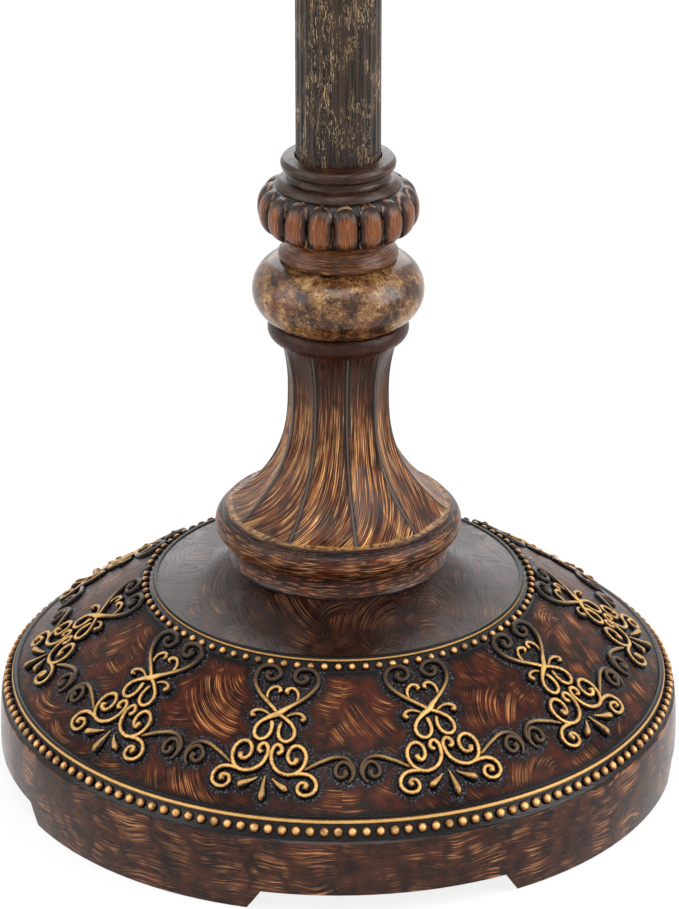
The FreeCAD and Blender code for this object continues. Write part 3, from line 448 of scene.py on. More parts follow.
def outline(corners: Sequence[Sequence[float]], step: float = 0.9) -> Array:
    """The points of a turned piece's section, which closes on itself.

    Args:
        corners: radius and height of each corner, anticlockwise, and where an arc leaves the
            corner, how far its middle stands out from the straight line.
        step: distance between the points of an arc.

    Returns:
        One row of radius and height for each point.
    """
    rows = []
    for corner, target in zip(corners, [*corners[1:], corners[0]]):
        start, end = np.array(corner[:2]), np.array(target[:2])
        rise = corner[2] if len(corner) > 2 else 0.0
        if not rise:
            rows.append(start[None])
            continue
        way = end - start
        chord = np.linalg.norm(way)
        half = 2 * math.atan(2 * abs(rise) / chord)
        radius = chord / 2 / math.sin(half)
        count = max(4, math.ceil(2 * half * radius / step))
        turn = np.linspace(-half, half, count, endpoint=False)[:, None]
        out = np.array([way[1], -way[0]]) / chord * math.copysign(1, rise)
        rows.append((start + end) / 2 + np.sin(turn) * radius * way / chord
                    + (np.cos(turn) - math.cos(half)) * radius * out)
    return np.vstack(rows)


def lathe(name: str, section: Array, angles: Array, inward: Array | float = 0.0,
          foot: float = 0.0, way: int = 1, **marks: Array) -> Thing:
    """A closed piece turned about the lamp's axis, whose radius may change on the way round.

    Args:
        name: the object's name.
        section: radius and height of each row, anticlockwise.
        angles: where the columns stand, to the right of the front, in radians.
        inward: how far each point is moved towards the axis.
        foot: height of the section's zero.
        way: 1 upright, or -1 for a piece that hangs upside down from there.
        **marks: one number or three for each row and column.

    Returns:
        The new object.
    """
    radius = section[:, 0, None] - inward + np.zeros(len(angles))
    height = foot + way * section[:, 1, None] + 0 * radius
    points = np.stack([radius * np.sin(angles), -radius * np.cos(angles), height], axis=2)
    index = np.arange(radius.size).reshape(radius.shape)
    up = np.roll(index, -1, axis=0)
    faces = np.stack([index, np.roll(index, -1, axis=1), np.roll(up, -1, axis=1), up], axis=2)
    values = {mark: np.reshape(v, (-1, 3) if v.ndim > 2 else -1) for mark, v in marks.items()}
    return make_object(name, points.reshape(-1, 3), faces.reshape(-1, 4)[:, ::way].tolist(), **values)


@dataclass
class CopyRing:
    """Geometry Nodes tree: copies of a piece round the lamp's axis, or strands swept first.

    Fields are the tree's named inputs.
    """

    count: int
    first_angle: float = 0.0    # degrees
    radius: float = 0.0
    height: float = 0.0
    lean: float = 0.0           # degrees, of each copy towards the axis
    size_spread: float = 0.0    # how far a copy's size strays from 1
    sway: float = 0.0           # degrees by which the copies stray from an even ring
    sides: int = 0              # of a swept bar, or 0 where nothing is swept
    seed: int = 7

    def tree(self) -> Tree:
        """Builds the tree once and gives it.

        Returns:
            The tree.
        """
        swept = self.sides > 0
        name = "swept_copies_round_the_axis" if swept else "copies_round_the_axis"
        made = bpy.data.node_groups.get(name)
        if made:
            return made
        made = bpy.data.node_groups.new(name, "GeometryNodeTree")
        for kind, *labels in (
                ("Geometry", "Geometry"), ("Int", "Count", "Sides", "Seed"), ("Material", "Material"),
                ("Float", "First Angle", "Radius", "Height", "Lean", "Size Spread", "Sway")):
            for label in labels:
                made.interface.new_socket(name=label, in_out="INPUT", socket_type=f"NodeSocket{kind}")
        made.interface.new_socket(name="Geometry", in_out="OUTPUT", socket_type="NodeSocketGeometry")
        given = node(made, "NodeGroupInput").outputs
        piece = given["Geometry"]
        if swept:
            piece = self.sweep(piece, given["Sides"])
        index = node(made, "GeometryNodeInputIndex")
        step = node(made, "Math", {0: TURN, 1: given["Count"]}, operation="DIVIDE")
        even = node(made, "Math", {0: index, 1: step, 2: given["First Angle"]},
                    operation="MULTIPLY_ADD")
        side = node(made, "Math", {0: even}, operation="SINE")
        stray = product(side, given["Sway"])
        angle = node(made, "Math", {0: even, 1: stray}, operation="SUBTRACT")
        across, along = [node(made, "Math", {0: angle}, operation=kind) for kind in ("SINE", "COSINE")]
        place = node(made, "CombineXYZ", {"X": product(across, given["Radius"]),
                                          "Y": product(along, given["Radius"], -1.0),
                                          "Z": given["Height"]})
        points = node(made, "GeometryNodePoints", {"Count": given["Count"], "Position": place})
        turn = node(made, "CombineXYZ", {"X": given["Lean"], "Z": angle})
        least, most = [node(made, "Math", {0: 1.0, 1: given["Size Spread"]}, operation=kind)
                       for kind in ("SUBTRACT", "ADD")]
        size = node(made, "FunctionNodeRandomValue", {2: least, 3: most, 8: given["Seed"]},
                    data_type="FLOAT")
        copies = node(made, "GeometryNodeInstanceOnPoints",
                      {"Points": points, "Instance": piece, "Rotation": turn, "Scale": size})
        solid = node(made, "GeometryNodeRealizeInstances", {"Geometry": copies})
        painted = node(made, "GeometryNodeSetMaterial",
                       {"Geometry": solid, "Material": given["Material"]})
        node(made, "NodeGroupOutput", {0: painted})
        return made

    @staticmethod
    def sweep(strands: Socket, sides: Socket) -> Node:
        """Turns strands of edges into round bars as thick as their attribute says.

        Args:
            strands: the edges.
            sides: how many sides a bar has.

        Returns:
            The node with the bars.
        """
        line = node(strands, "GeometryNodeMeshToCurve", {"Mesh": strands})
        thick = node(strands, "GeometryNodeInputNamedAttribute", {"Name": "thickness"},
                     data_type="FLOAT")
        profile = node(strands, "GeometryNodeCurvePrimitiveCircle",
                       {"Resolution": sides, "Radius": 1.0})
        return node(strands, "GeometryNodeCurveToMesh",
                    {"Curve": line, "Profile Curve": profile, "Scale": thick, "Fill Caps": True})

    def spread(self, source: Thing, name: str, finish: Finish) -> Thing:
        """Runs the tree on an object and turns the result into a plain mesh.

        Args:
            source: the piece to copy, which is then removed.
            name: the name of the new object.
            finish: the finish of the copies.

        Returns:
            The object that holds all the copies.
        """
        modifier = source.modifiers.new("copies", "NODES")
        modifier.node_group = self.tree()
        values = {"Count": self.count, "First Angle": math.radians(self.first_angle),
                  "Radius": self.radius * MM, "Height": self.height * MM,
                  "Lean": math.radians(self.lean), "Size Spread": self.size_spread,
                  "Sway": math.radians(self.sway), "Sides": self.sides, "Seed": self.seed,
                  "Material": finish.material()}
        for item in modifier.node_group.interface.items_tree:
            if item.in_out == "INPUT" and item.name in values:
                modifier[item.identifier] = values[item.name]
        bpy.context.view_layer.update()
        graph = bpy.context.evaluated_depsgraph_get()
        mesh = bpy.data.meshes.new_from_object(source.evaluated_get(graph), depsgraph=graph,
                                               preserve_all_data_layers=True)
        source.modifiers.remove(modifier)
        mesh.name = name
        bpy.data.objects.remove(source)
        return put(name, mesh)


# ---------------------------------------------------------------- the stage


@dataclass
class Studio:
    """Floor, lamps and camera."""

    camera_distance: float = 1700.0
    camera_height: float = 908.04
    pitch: float = 24.03            # degrees that the camera looks down
    focal_pixels: float = 4060.9
    centre_column: float = 338.3    # of the picture, where the lamp's axis is
    floor_half: float = 9000.0
    glow_share: float = 0.85    # of the floor's white that needs no light
    sky: float = 0.55           # strength of the light from all round

    def build(self) -> None:
        """Makes the whole stage."""
        self.floor()
        self.lights()
        self.camera()
        bpy.context.scene.view_settings.view_transform = "Standard"

    def camera(self) -> None:
        """A long lens that looks down at the base, as in the photograph."""
        data = bpy.data.cameras.new("camera")
        data.sensor_width = data.sensor_height = 36.0
        data.lens = self.focal_pixels * data.sensor_width / PHOTO_HEIGHT
        data.shift_x = (PHOTO_WIDTH / 2 - self.centre_column) / PHOTO_HEIGHT
        data.clip_start = 0.05
        data.clip_end = 60.0
        made = put("camera", data)
        made.location = (0, -self.camera_distance * MM, self.camera_height * MM)
        made.rotation_euler = (math.radians(90 - self.pitch), 0, 0)
        bpy.context.scene.camera = made

    def floor(self) -> None:
        """A wide pale floor that shows white to the camera and keeps the lamp's shadow."""
        corners = np.array([(-1, -1, 0), (1, -1, 0), (1, 1, 0), (-1, 1, 0)])
        made = make_object("floor", corners * self.floor_half, [(0, 1, 2, 3)])
        made.data.materials.append(self.floor_material())

    @staticmethod
    def background_rays(tree: Tree) -> Node:
        """One for rays that should see a white background, and nought for the rest.

        Args:
            tree: the tree that gets the nodes.

        Returns:
            The node with that number.
        """
        path = node(tree, "LightPath").outputs
        either = node(tree, "Math", {0: path["Is Camera Ray"], 1: path["Is Glossy Ray"]},
                      operation="MAXIMUM")
        return node(tree, "Math", {0: either, 1: path["Is Transmission Ray"]}, operation="MAXIMUM")

    def floor_material(self) -> bpy.types.Material:
        """Matt white paper.

        Returns:
            The material.
        """
        made = bpy.data.materials.new("white_paper")
        tree = blank_tree(made)
        paper = node(tree, "BsdfDiffuse", {"Color": "#ffffff"})
        glow = node(tree, "Emission", {"Color": "#ffffff", "Strength": 1.0})
        share = product(self.background_rays(tree), self.glow_share)
        surface = node(tree, "MixShader", {0: share, 1: paper, 2: glow})
        node(tree, "OutputMaterial", {"Surface": surface})
        return made

    def lights(self) -> None:
        """Soft light from all round, with large soft boxes above and at both sides."""
        world = bpy.data.worlds.new("studio")
        bpy.context.scene.world = world
        tree = blank_tree(world)
        strength = node(tree, "MapRange",
                        {"Value": self.background_rays(tree), "To Min": self.sky, "To Max": 1.0})
        sky = node(tree, "Background", {"Color": "#ffffff", "Strength": strength})
        node(tree, "OutputWorld", {"Surface": sky})
        for name, place, aim, size, power in (      # in metres, and the power in watts
                ("left_box", (-2.3, -0.8, 1.6), (0, 0, 0.3), 2.4, 38.0),
                ("right_box", (2.3, -0.6, 1.6), (0, 0, 0.3), 2.0, 58.0),
                ("top_box", (0.0, -1.2, 3.2), (0, 0, 0.2), 1.8, 34.0),
                ("back_box", (0.0, 2.6, 1.6), (0, 0, 0.1), 2.6, 36.0)):
            data = bpy.data.lights.new(name, "AREA")
            data.size = size
            data.energy = power
            made = put(name, data)
            made.location = place
            way = np.array(aim) - np.array(place)
            made.rotation_euler = (math.atan2(math.hypot(way[0], way[1]), -way[2]), 0,
                                   math.atan2(way[1], way[0]) - math.pi / 2)


# ---------------------------------------------------------------- finishes


@dataclass(frozen=True)
class GiltPaint(Finish):
    """Gold paint rubbed over dark glaze, with painted light: a painted highlight on the crests, amber
    below them, and painted shade, nearly black, at their foot.

    Where the piece's gilt attribute is low, the brush missed it, and only a dull brown crest shows,
    with a faint painted highlight on top.
    """

    # painted highlight on the top of the crests
    pale: str = "#d6aa66"
    bright: str = "#a3743a"
    deep: str = "#44260f"
    missed: str = "#2b1c14"
    # painted shade at the foot of a bar or bead
    glaze: str = "#0c0706"
    start: float = 0.82     # crest at which the paint starts
    worn: float = 0.3       # how much of the paint is gone where it's worn
    metallic: float = 0.3   # bronze powder in a varnish

    def paint(self, shader: Node) -> None:
        """Lays gold with a painted highlight over the crests and painted shade below them, with worn
        patches.

        Args:
            shader: the material's shader.
        """
        place = millimetres(shader)
        crest = node(place, "Attribute", attribute_name="crest").outputs["Fac"]
        gilt = node(place, "Attribute", attribute_name="gilt").outputs["Fac"]
        grain = noise(place, 0.2, 0.8, 0.8)
        raised = node(place, "Math", {0: grain, 1: 0.1, 2: crest}, operation="MULTIPLY_ADD")
        # The ramps follow the crest: painted shade at the foot, gold higher up, a painted highlight on
        # top.
        low, mid, high, top = [self.start + share * (1.05 - self.start)
                               for share in (0, 0.35, 0.65, 0.95)]
        gold = node(place, "ValToRGB", {"Fac": raised}, stops=(
            (low, self.glaze), (mid, self.deep), (high, self.bright), (top, self.pale)))
        dusk = node(place, "ValToRGB", {"Fac": raised}, stops=((low, self.glaze), (top, self.missed)))
        wear = noise(place, 0.3, 0.55, 5.0)
        left = node(place, "Math", {0: wear, 1: self.worn, 2: 1 - self.worn}, operation="MULTIPLY_ADD")
        shown = product(left, gilt)
        seal(shader, grain, 0.05, {
            "Base Color": coats(dusk, (shown, gold)), "Roughness": 0.3,
            "Metallic": product(shown, self.metallic), "Specular IOR Level": 0.18})


@dataclass(frozen=True)
class LacqueredResin(Finish):
    """Cast resin under glossy red-brown lacquer, with copper paint dragged over it by a stiff brush.

    The bristles leave lines of under a millimetre that break up where the brush ran dry, and the
    clear coat gives the grey sheen at the sides.
    """

    strokes: Strokes = Strokes.RINGS
    ground: str = "#220c06"
    body: str = "#431a0e"
    copper: str = "#8a4e2c"
    gold: str = "#cf8f55"
    cover: float = 0.75
    gilding: float = 0.6
    grime: float = 0.45     # share of the dark grit
    width: float = 0.5      # of one bristle's line, in mm
    length: float = 24.0    # of one stroke, in mm
    patch: float = 24.0     # of one dab of the brush, in mm
    rough: float = 0.27
    gloss: float = 0.2      # specular level

    def paint(self, shader: Node) -> None:
        """Lays the body colour, the bristles of copper and gold, the grit and the trim.

        Args:
            shader: the material's shader.
        """
        place = millimetres(shader)
        way = self.way(place)
        cloud = noise(place, 0.35, 0.65, 8.0)
        bristles = noise(way, 0.47, 0.64)
        fine = noise(way, 0.46, 0.62, 0.7, 1.3, 0.7)
        grit = noise(place, 0.58, 0.7, 0.55)
        painted = product(bristles, product(self.load(place), *self.dabbed(place)))
        colour = coats(self.ground, (cloud, self.body),
                       (product(painted, self.cover), self.copper),
                       (product(painted, fine, self.gilding), self.gold),
                       (product(grit, self.grime), self.ground))
        dull = node(place, "MapRange",
                    {"Value": bristles, "To Min": self.rough, "To Max": self.rough + 0.12})
        seal(shader, bristles, 0.05,
             {"Base Color": coats(colour, *self.trim(place)), "Roughness": dull,
              "Specular IOR Level": self.gloss})

    def bent(self, place: Node) -> Node:
        """Coordinates in dabs, with wavering borders."""
        return stirred(grains(place, self.patch), 1 / 1.1, (1.7, 1.7, 1.7), 3.0)

    def dabbed(self, place: Node) -> list[Node]:
        """How the paint thins out at the edge of each dab, where there are dabs.

        Args:
            place: coordinates in millimetres.

        Returns:
            One mask, or none where the strokes have no dabs.
        """
        if self.strokes is not Strokes.SWIRLS:
            return []
        edge = node(place, "TexVoronoi", {"Vector": self.bent(place), "Scale": 1.0},
                    feature="DISTANCE_TO_EDGE")
        return [node(place, "MapRange", {"Value": edge, "From Max": 0.3},
                     interpolation_type="SMOOTHSTEP")]

    def load(self, place: Node) -> Node:
        """How much paint the brush carried."""
        return noise(place, 0.3, 0.62, self.patch)

    def trim(self, place: Node) -> list[tuple]:
        """What is painted over the strokes: for each coat, how much of it shows, and its colour."""
        return []

    def way(self, place: Node) -> Node | Socket:
        """Coordinates whose grain lies along the strokes.

        Args:
            place: coordinates in millimetres.

        Returns:
            The node or socket with the coordinates.
        """
        if self.strokes is Strokes.RINGS:
            return grains(place, self.length, self.length, self.width)
        if self.strokes is Strokes.FANNED:
            return node(place, "Attribute", attribute_name="grain").outputs["Vector"]
        return self.swirls(place)

    def swirls(self, place: Node) -> Node:
        """Coordinates that run in arcs about a point of their own in each dab of the brush.

        Args:
            place: coordinates in millimetres.

        Returns:
            The node with the coordinates.
        """
        dabs = grains(place, self.patch)
        cells = node(place, "TexVoronoi", {"Vector": self.bent(place), "Scale": 1.0}).outputs
        inside = node(place, "VectorMath", {0: dabs, 1: cells["Position"]}, operation="SUBTRACT")
        aside = node(place, "VectorMath", {0: cells["Color"], 1: (0.5, 0.5, 0.5)}, operation="SUBTRACT")
        arm = node(place, "VectorMath", {0: aside, 1: (2.4, 2.4, 0.0), 2: inside},
                   operation="MULTIPLY_ADD")
        parts = node(place, "SeparateXYZ", {0: arm}).outputs
        bearing = node(place, "Math", {0: parts["X"], 1: parts["Y"]}, operation="ARCTAN2")
        tone = node(place, "SeparateXYZ", {0: cells["Color"]}).outputs["Z"]
        return node(place, "CombineXYZ", {
            "X": product(from_axis(arm), self.patch / self.width),
            "Y": product(bearing, self.patch / self.length),
            "Z": product(tone, 40.0)})


@dataclass(frozen=True)
class DomeLacquer(LacqueredResin):
    """The dome's lacquer: blue-black glaze round the scrolls and beads, with chalky specks, and painted
    shade that darkens the ground near the scrolls.
    """

    # glaze round the scrolls and beads; at the scrolls' foot it is also painted shade
    glaze: str = "#0d0808"
    bloom: str = "#7d7b84"
    # painted shade on the ground near the scrolls
    shade: str = "#1c0c08"
    reach: float = 1.3              # of the glaze round the scrolls, in mm
    hems: Point = (94.5, 148.3)     # radii between which there is no glaze of the beads, in mm

    def load(self, place: Node) -> Node:
        """How much paint the brush carried: less near the scrolls, which darkens the ground there as
        painted shade.
        """
        dab = noise(place, 0.25, 0.6, self.patch * 0.5)
        return product(dab, marked(place, "relief_gap", 1.5, 8.0, 0.12))

    def trim(self, place: Node) -> list[tuple]:
        """Glaze round the scrolls and beads with chalky specks in it, and painted shade on the ground
        near the scrolls.

        Args:
            place: coordinates in millimetres.

        Returns:
            The coats, lowest first.
        """
        # glaze hugging the scrolls, partly real glaze and partly painted shade at their foot
        halo = marked(place, "relief_gap", self.reach + 0.4, self.reach - 1.9, size=2.6, fray=-3.0)
        # painted shade: the ground darkens within a few millimetres of the scrolls
        dusk = marked(place, "relief_gap", 6.0, 1.0, high=0.75)
        spots = noise(place, 0.5, 0.68, 0.9, detail=4.0, rough=0.7)
        middle = between(from_axis(place), *self.hems, 1.8)
        hem = node(place, "Math", {0: 1.0, 1: middle}, operation="SUBTRACT")
        return [(dusk, self.shade), (halo, self.glaze), (hem, self.glaze),
                (product(spots, halo, 0.7), self.bloom)]


@dataclass(frozen=True)
class BaseLacquer(LacqueredResin):
    """The base casting: swirls on its disc, streaks round its skirt, and black beside the beads."""

    black: str = "#0d0807"
    dimmed: str = "#160906"
    plinth: Point = (45.0, 51.0)    # inner and outer radius, in mm, as in the next two
    disc: Point = (51.0, 84.0)
    lands: tuple[Point, Point] = ((83.7, 92.0), (149.0, 156.8))
    skirt: float = 153.0            # radius at which the streaks start, in mm

    def way(self, place: Node) -> Node:
        """Swirls on the disc and dome, and streaks round the skirt.

        Args:
            place: coordinates in millimetres.

        Returns:
            The node with the coordinates.
        """
        lifted = stirred(place, 30.0, (0.0, 0.0, 12.0), 1.0)
        flat_part = between(from_axis(place), self.disc[0], self.skirt, 0.2)
        return node(place, "Mix", {0: flat_part, 4: grains(lifted, 16.0, 16.0, 0.6),
                                  5: self.swirls(place)}, data_type="VECTOR")

    def trim(self, place: Node) -> list[tuple]:
        """A dimmer disc, flecks on the plinth, a painted shadow where the plinth meets the disc, and
        black beside the beads.

        Args:
            place: coordinates in millimetres.

        Returns:
            The coats, lowest first.
        """
        radius = from_axis(place)
        flecks = noise(place, 0.54, 0.66, 7.0, 7.0, 0.9)
        foot = self.plinth[1]
        return [(product(between(radius, *self.disc, 1.0), 0.6), self.dimmed),
                (product(between(radius, *self.plinth, 0.4), flecks), self.copper),
                # painted shadow where the plinth meets the disc
                (between(radius, foot - 0.6, foot + 0.6, 0.6), self.black),
                *((between(radius, *land, 0.25), self.black) for land in self.lands)]


@dataclass(frozen=True)
class VaseLacquer(LacqueredResin):
    """Fluted lacquer: bright copper in the flutes, a blue-black band along their ridges, and a painted
    highlight on each ridge.
    """

    # the blue-black band along the ridges
    glaze: str = "#151114"
    # painted highlight along the crest of each ridge
    ridge_highlight: str = "#6f5e50"
    line: str = "#a87c48"
    line_height: float = 14.2           # of the gilt line over the rim, in mm
    fade: Point = (55.0, 88.0)          # heights between which the copper fades, in mm

    def load(self, place: Node) -> Node:
        """How much paint the brush carried: less high up, and in the middle of wide flutes.

        Args:
            place: coordinates in millimetres.

        Returns:
            The node with the mask.
        """
        dab = noise(place, 0.2, 0.5, self.patch)
        faded = marked(place, "rise", *self.fade, 1.0, 0.15)
        plain = marked(place, "ridge", 8.5, 9.0, 1.0, 0.4, ease="LINEAR")
        return product(dab, product(faded, plain))

    def trim(self, place: Node) -> list[tuple]:
        """Darker high up, a blue-black band along the ridges with a faint painted highlight on them,
        and a gilt line over a dark groove.

        Args:
            place: coordinates in millimetres.

        Returns:
            The coats, lowest first.
        """
        ridge = node(place, "Attribute", attribute_name="ridge").outputs["Fac"]
        rise = node(place, "Attribute", attribute_name="rise").outputs["Fac"]
        broken = noise(place, 0.4, 0.6, 2.4)
        foot = between(rise, self.line_height - 0.1, self.line_height + 0.35, 0.25)
        groove = between(rise, self.line_height - 3.4, self.line_height - 0.3, 0.6)
        specks = noise(place, 0.45, 0.6, 0.6)
        bare = node(place, "Math", {0: specks, 1: -0.6, 2: 0.95}, operation="MULTIPLY_ADD")
        return [(marked(place, "rise", *self.fade, high=0.6), self.ground),
                # a blue-black band along each ridge
                (marked(place, "ridge", 3.2, 1.5, high=0.9, size=2.4, fray=1.6),
                 self.glaze),
                # painted highlight on each ridge
                (product(between(ridge, -1.0, 0.35, 0.15), 0.55), self.ridge_highlight),
                (product(groove, bare), self.glaze), (product(foot, broken), self.line)]


@dataclass(frozen=True)
class LobeLacquer(LacqueredResin):
    """Lobed lacquer: amber on the crown of each lobe as a painted highlight, painted shade down its
    sides, and black glaze between the lobes.
    """

    glaze: str = "#0d0706"
    # painted highlight on the crown of each lobe
    amber: str = "#7e4420"
    # painted highlight along the rim of each lobe
    line: str = "#94745a"

    def load(self, place: Node) -> Node:
        """How much paint the brush carried: most on the crown of a lobe."""
        dab = noise(place, 0.15, 0.6, self.patch)
        return product(dab, marked(place, "lobe", 0.8, 0.1))

    def trim(self, place: Node) -> list[tuple]:
        """A painted highlight of amber on the crowns, painted shade on the sides, black gaps, and a
        broken painted highlight along each lobe's rim.

        Args:
            place: coordinates in millimetres.

        Returns:
            The coats, lowest first.
        """
        lobe = node(place, "Attribute", attribute_name="lobe").outputs["Fac"]
        broken_rim_highlight = noise(place, 0.4, 0.6, 4.0)
        # painted highlight on the crowns, then painted shade down the sides
        return [(marked(place, "lobe", 0.5, 0.0, high=0.6), self.amber),
                (marked(place, "lobe", 0.1, 0.85, high=0.9), self.ground),
                (marked(place, "lobe", 1.0, 1.15, ease="LINEAR"), self.glaze),
                # broken painted highlight along the rim
                (product(between(lobe, 0.85, 0.99, 0.05), broken_rim_highlight), self.line)]


@dataclass(frozen=True)
class PolishedStone(Finish):
    """Polished granite: brown and gold crystals of half a millimetre, rusty clouds, black flecks."""

    crystals: tuple[tuple[float, str], ...] = (
        (0.37, "#0e0805"), (0.45, "#3a2111"), (0.52, "#74502f"), (0.59, "#9c774a"), (0.69, "#caa77b"))
    rust: str = "#5e2f1c"
    dust: str = "#1d110a"
    mica: str = "#100c0a"

    def paint(self, shader: Node) -> None:
        """Mixes the crystals, the rusty clouds, the dark dust and the flecks.

        Args:
            shader: the material's shader.
        """
        place = millimetres(shader)
        crystal = node(place, "TexNoise", {"Vector": grains(place, 12.0), "Scale": 1.0,
                                          "Detail": 7.0, "Roughness": 0.86})
        tone = node(place, "ValToRGB", {"Fac": crystal}, stops=self.crystals)
        clouds = noise(place, 0.48, 0.62, 11.0)
        flecks = noise(place, 0.6, 0.64, 7.0, detail=5.0, rough=0.75)
        pepper = noise(place, 0.58, 0.64, 0.9)
        colour = coats(tone, (product(clouds, 0.5), self.rust),
                       (product(pepper, 0.85), self.dust), (flecks, self.mica))
        seal(shader, crystal, 0.01,
             {"Base Color": colour, "Roughness": 0.2, "Specular IOR Level": 0.4})


@dataclass(frozen=True)
class ScratchedTubePaint(Finish):
    """Charcoal lacquer on steel tube, with fine dry-brushed scratches of gold along it."""

    ground: str = "#14100e"
    haze: str = "#3a2a1e"
    scratch: str = "#c9a87c"

    def paint(self, shader: Node) -> None:
        """Lays a brown haze and then gold scratches over the charcoal.

        Args:
            shader: the material's shader.
        """
        place = millimetres(shader)
        haze = noise(place, 0.35, 0.7, 1.2, 1.2, 30.0)
        load = noise(place, 0.38, 0.6, 7.0, 7.0, 18.0)
        bent = stirred(place, 9.0, (4.0, 4.0, 0.0))
        lines = noise(bent, 0.56, 0.68, 0.32, 0.32, 16.0, detail=1.0)
        colour = coats(self.ground, (haze, self.haze),
                       (product(lines, load, 0.75), self.scratch))
        seal(shader, lines, 0.03,
             {"Base Color": colour, "Roughness": 0.33, "Specular IOR Level": 0.25})


@dataclass(frozen=True)
class Metal(Finish):
    """Bare, plated or cast metal, with the marks of how its surface was made."""

    light: str = "#b58f4e"
    dark: str = "#7a5a2a"
    grain: tuple[float, float, float] = (6.0, 6.0, 0.4)    # mm, long along the brushing
    rough: float = 0.28
    relief: float = 0.02    # mm
    metallic: float = 1.0

    def paint(self, shader: Node) -> None:
        """Darkens the metal in clouds and gives it the grain of its making.

        Args:
            shader: the material's shader.
        """
        place = millimetres(shader)
        brushed = noise(place, 0.3, 0.7, *self.grain)
        aged = noise(place, 0.4, 0.75, 9.0)
        dull = node(place, "MapRange",
                    {"Value": aged, "To Min": self.rough, "To Max": self.rough + 0.16})
        seal(shader, brushed, self.relief,
             {"Base Color": coats(self.light, (aged, self.dark)), "Metallic": self.metallic,
              "Roughness": dull})


@dataclass(frozen=True)
class Dull(Finish):
    """Enamel, rubber, card, phenolic or glass, which differ in colour, grit and gloss."""

    light: str = "#2a2724"
    dark: str = "#171513"
    grit: float = 0.5       # mm
    rough: float = 0.6
    relief: float = 0.03    # mm
    coat: float = 0.0

    def paint(self, shader: Node) -> None:
        """Clouds the colour and gives it its grit.

        Args:
            shader: the material's shader.
        """
        place = millimetres(shader)
        grit = noise(place, 0.3, 0.7, self.grit)
        cloud = noise(place, 0.35, 0.65, 12.0)
        dull = node(place, "MapRange",
                    {"Value": cloud, "To Min": self.rough, "To Max": self.rough + 0.08})
        seal(shader, grit, self.relief,
             {"Base Color": coats(self.dark, (cloud, self.light)), "Roughness": dull,
              "Coat Weight": self.coat, "Coat Roughness": 0.08})


def turns(place: Node, radius: float, pitch: float) -> tuple[Node, Node]:
    """Angles that make a full turn for each thread round a shade, and for each thread up it.

    Args:
        place: coordinates in millimetres.
        radius: mean radius of the shade, in millimetres.
        pitch: distance between threads, in millimetres.

    Returns:
        The angle round the shade, and the angle up it.
    """
    parts = node(place, "SeparateXYZ", {0: place}).outputs
    bearing = node(place, "Math", {0: parts["X"], 1: parts["Y"]}, operation="ARCTAN2")
    threads = float(round(TURN * radius / pitch))
    return product(bearing, threads), product(parts["Z"], TURN / pitch)


@dataclass(frozen=True)
class WovenLinen(Finish):
    """Cream linen: plain weave with thicker slubs in both ways, and a soft sheen at the edge.

    Its threads are 0.5 mm apart. They are drawn 1.5 mm apart, because finer ones don't show.
    """

    thread: float = 1.5
    mean_radius: float = 165.0
    shadow: str = "#a89878"
    cream: str = "#cfc1a1"
    slub: str = "#c6b693"

    def paint(self, shader: Node) -> None:
        """Weaves the threads and lays the slubs over them.

        Args:
            shader: the material's shader.
        """
        place = millimetres(shader)
        waves = [node(place, "Math", {0: turn}, operation="SINE")
                 for turn in turns(place, self.mean_radius, self.thread)]
        cloth = node(place, "MapRange", {"Value": product(*waves), "From Min": -1.0})
        upright = noise(place, 0.5, 0.72, 1.6, 1.6, 28.0)
        level = noise(place, 0.5, 0.72, 24.0, 24.0, 1.3)
        slubs = node(place, "Math", {0: upright, 1: level}, operation="MAXIMUM")
        relief = node(place, "Math", {0: slubs, 1: 1.2, 2: cloth}, operation="MULTIPLY_ADD")
        colour = coats(self.shadow, (product(cloth, 0.35), self.cream),
                       (product(slubs, 0.4), self.slub))
        seal(shader, relief, 0.12,
             {"Base Color": colour, "Roughness": 0.85, "Sheen Weight": 0.25, "Sheen Roughness": 0.5})


@dataclass(frozen=True)
class TwistedCord(Finish):
    """Gold-brown braid of twisted rayon cords: diagonal strands that catch the light."""

    strand: float = 1.4     # mm; real strands are half as wide
    mean_radius: float = 165.0
    shadow: str = "#4d351a"
    brown: str = "#8a6534"
    gold: str = "#b08a50"

    def paint(self, shader: Node) -> None:
        """Twists the strands, light on their crests.

        Args:
            shader: the material's shader.
        """
        place = millimetres(shader)
        bearing, lean = turns(place, self.mean_radius, self.strand)
        phase = node(place, "Math", {0: bearing, 1: lean}, operation="ADD")
        wave = node(place, "Math", {0: phase}, operation="SINE")
        twist = node(place, "MapRange", {"Value": wave, "From Min": -1.0})
        silk = coats(self.brown, (noise(place, 0.35, 0.65, 5.0), self.gold))
        seal(shader, twist, 0.25,
             {"Base Color": coats(self.shadow, (twist, silk)), "Roughness": 0.5,
              "Sheen Weight": 0.3, "Sheen Roughness": 0.35})


# ---------------------------------------------------------------- the base


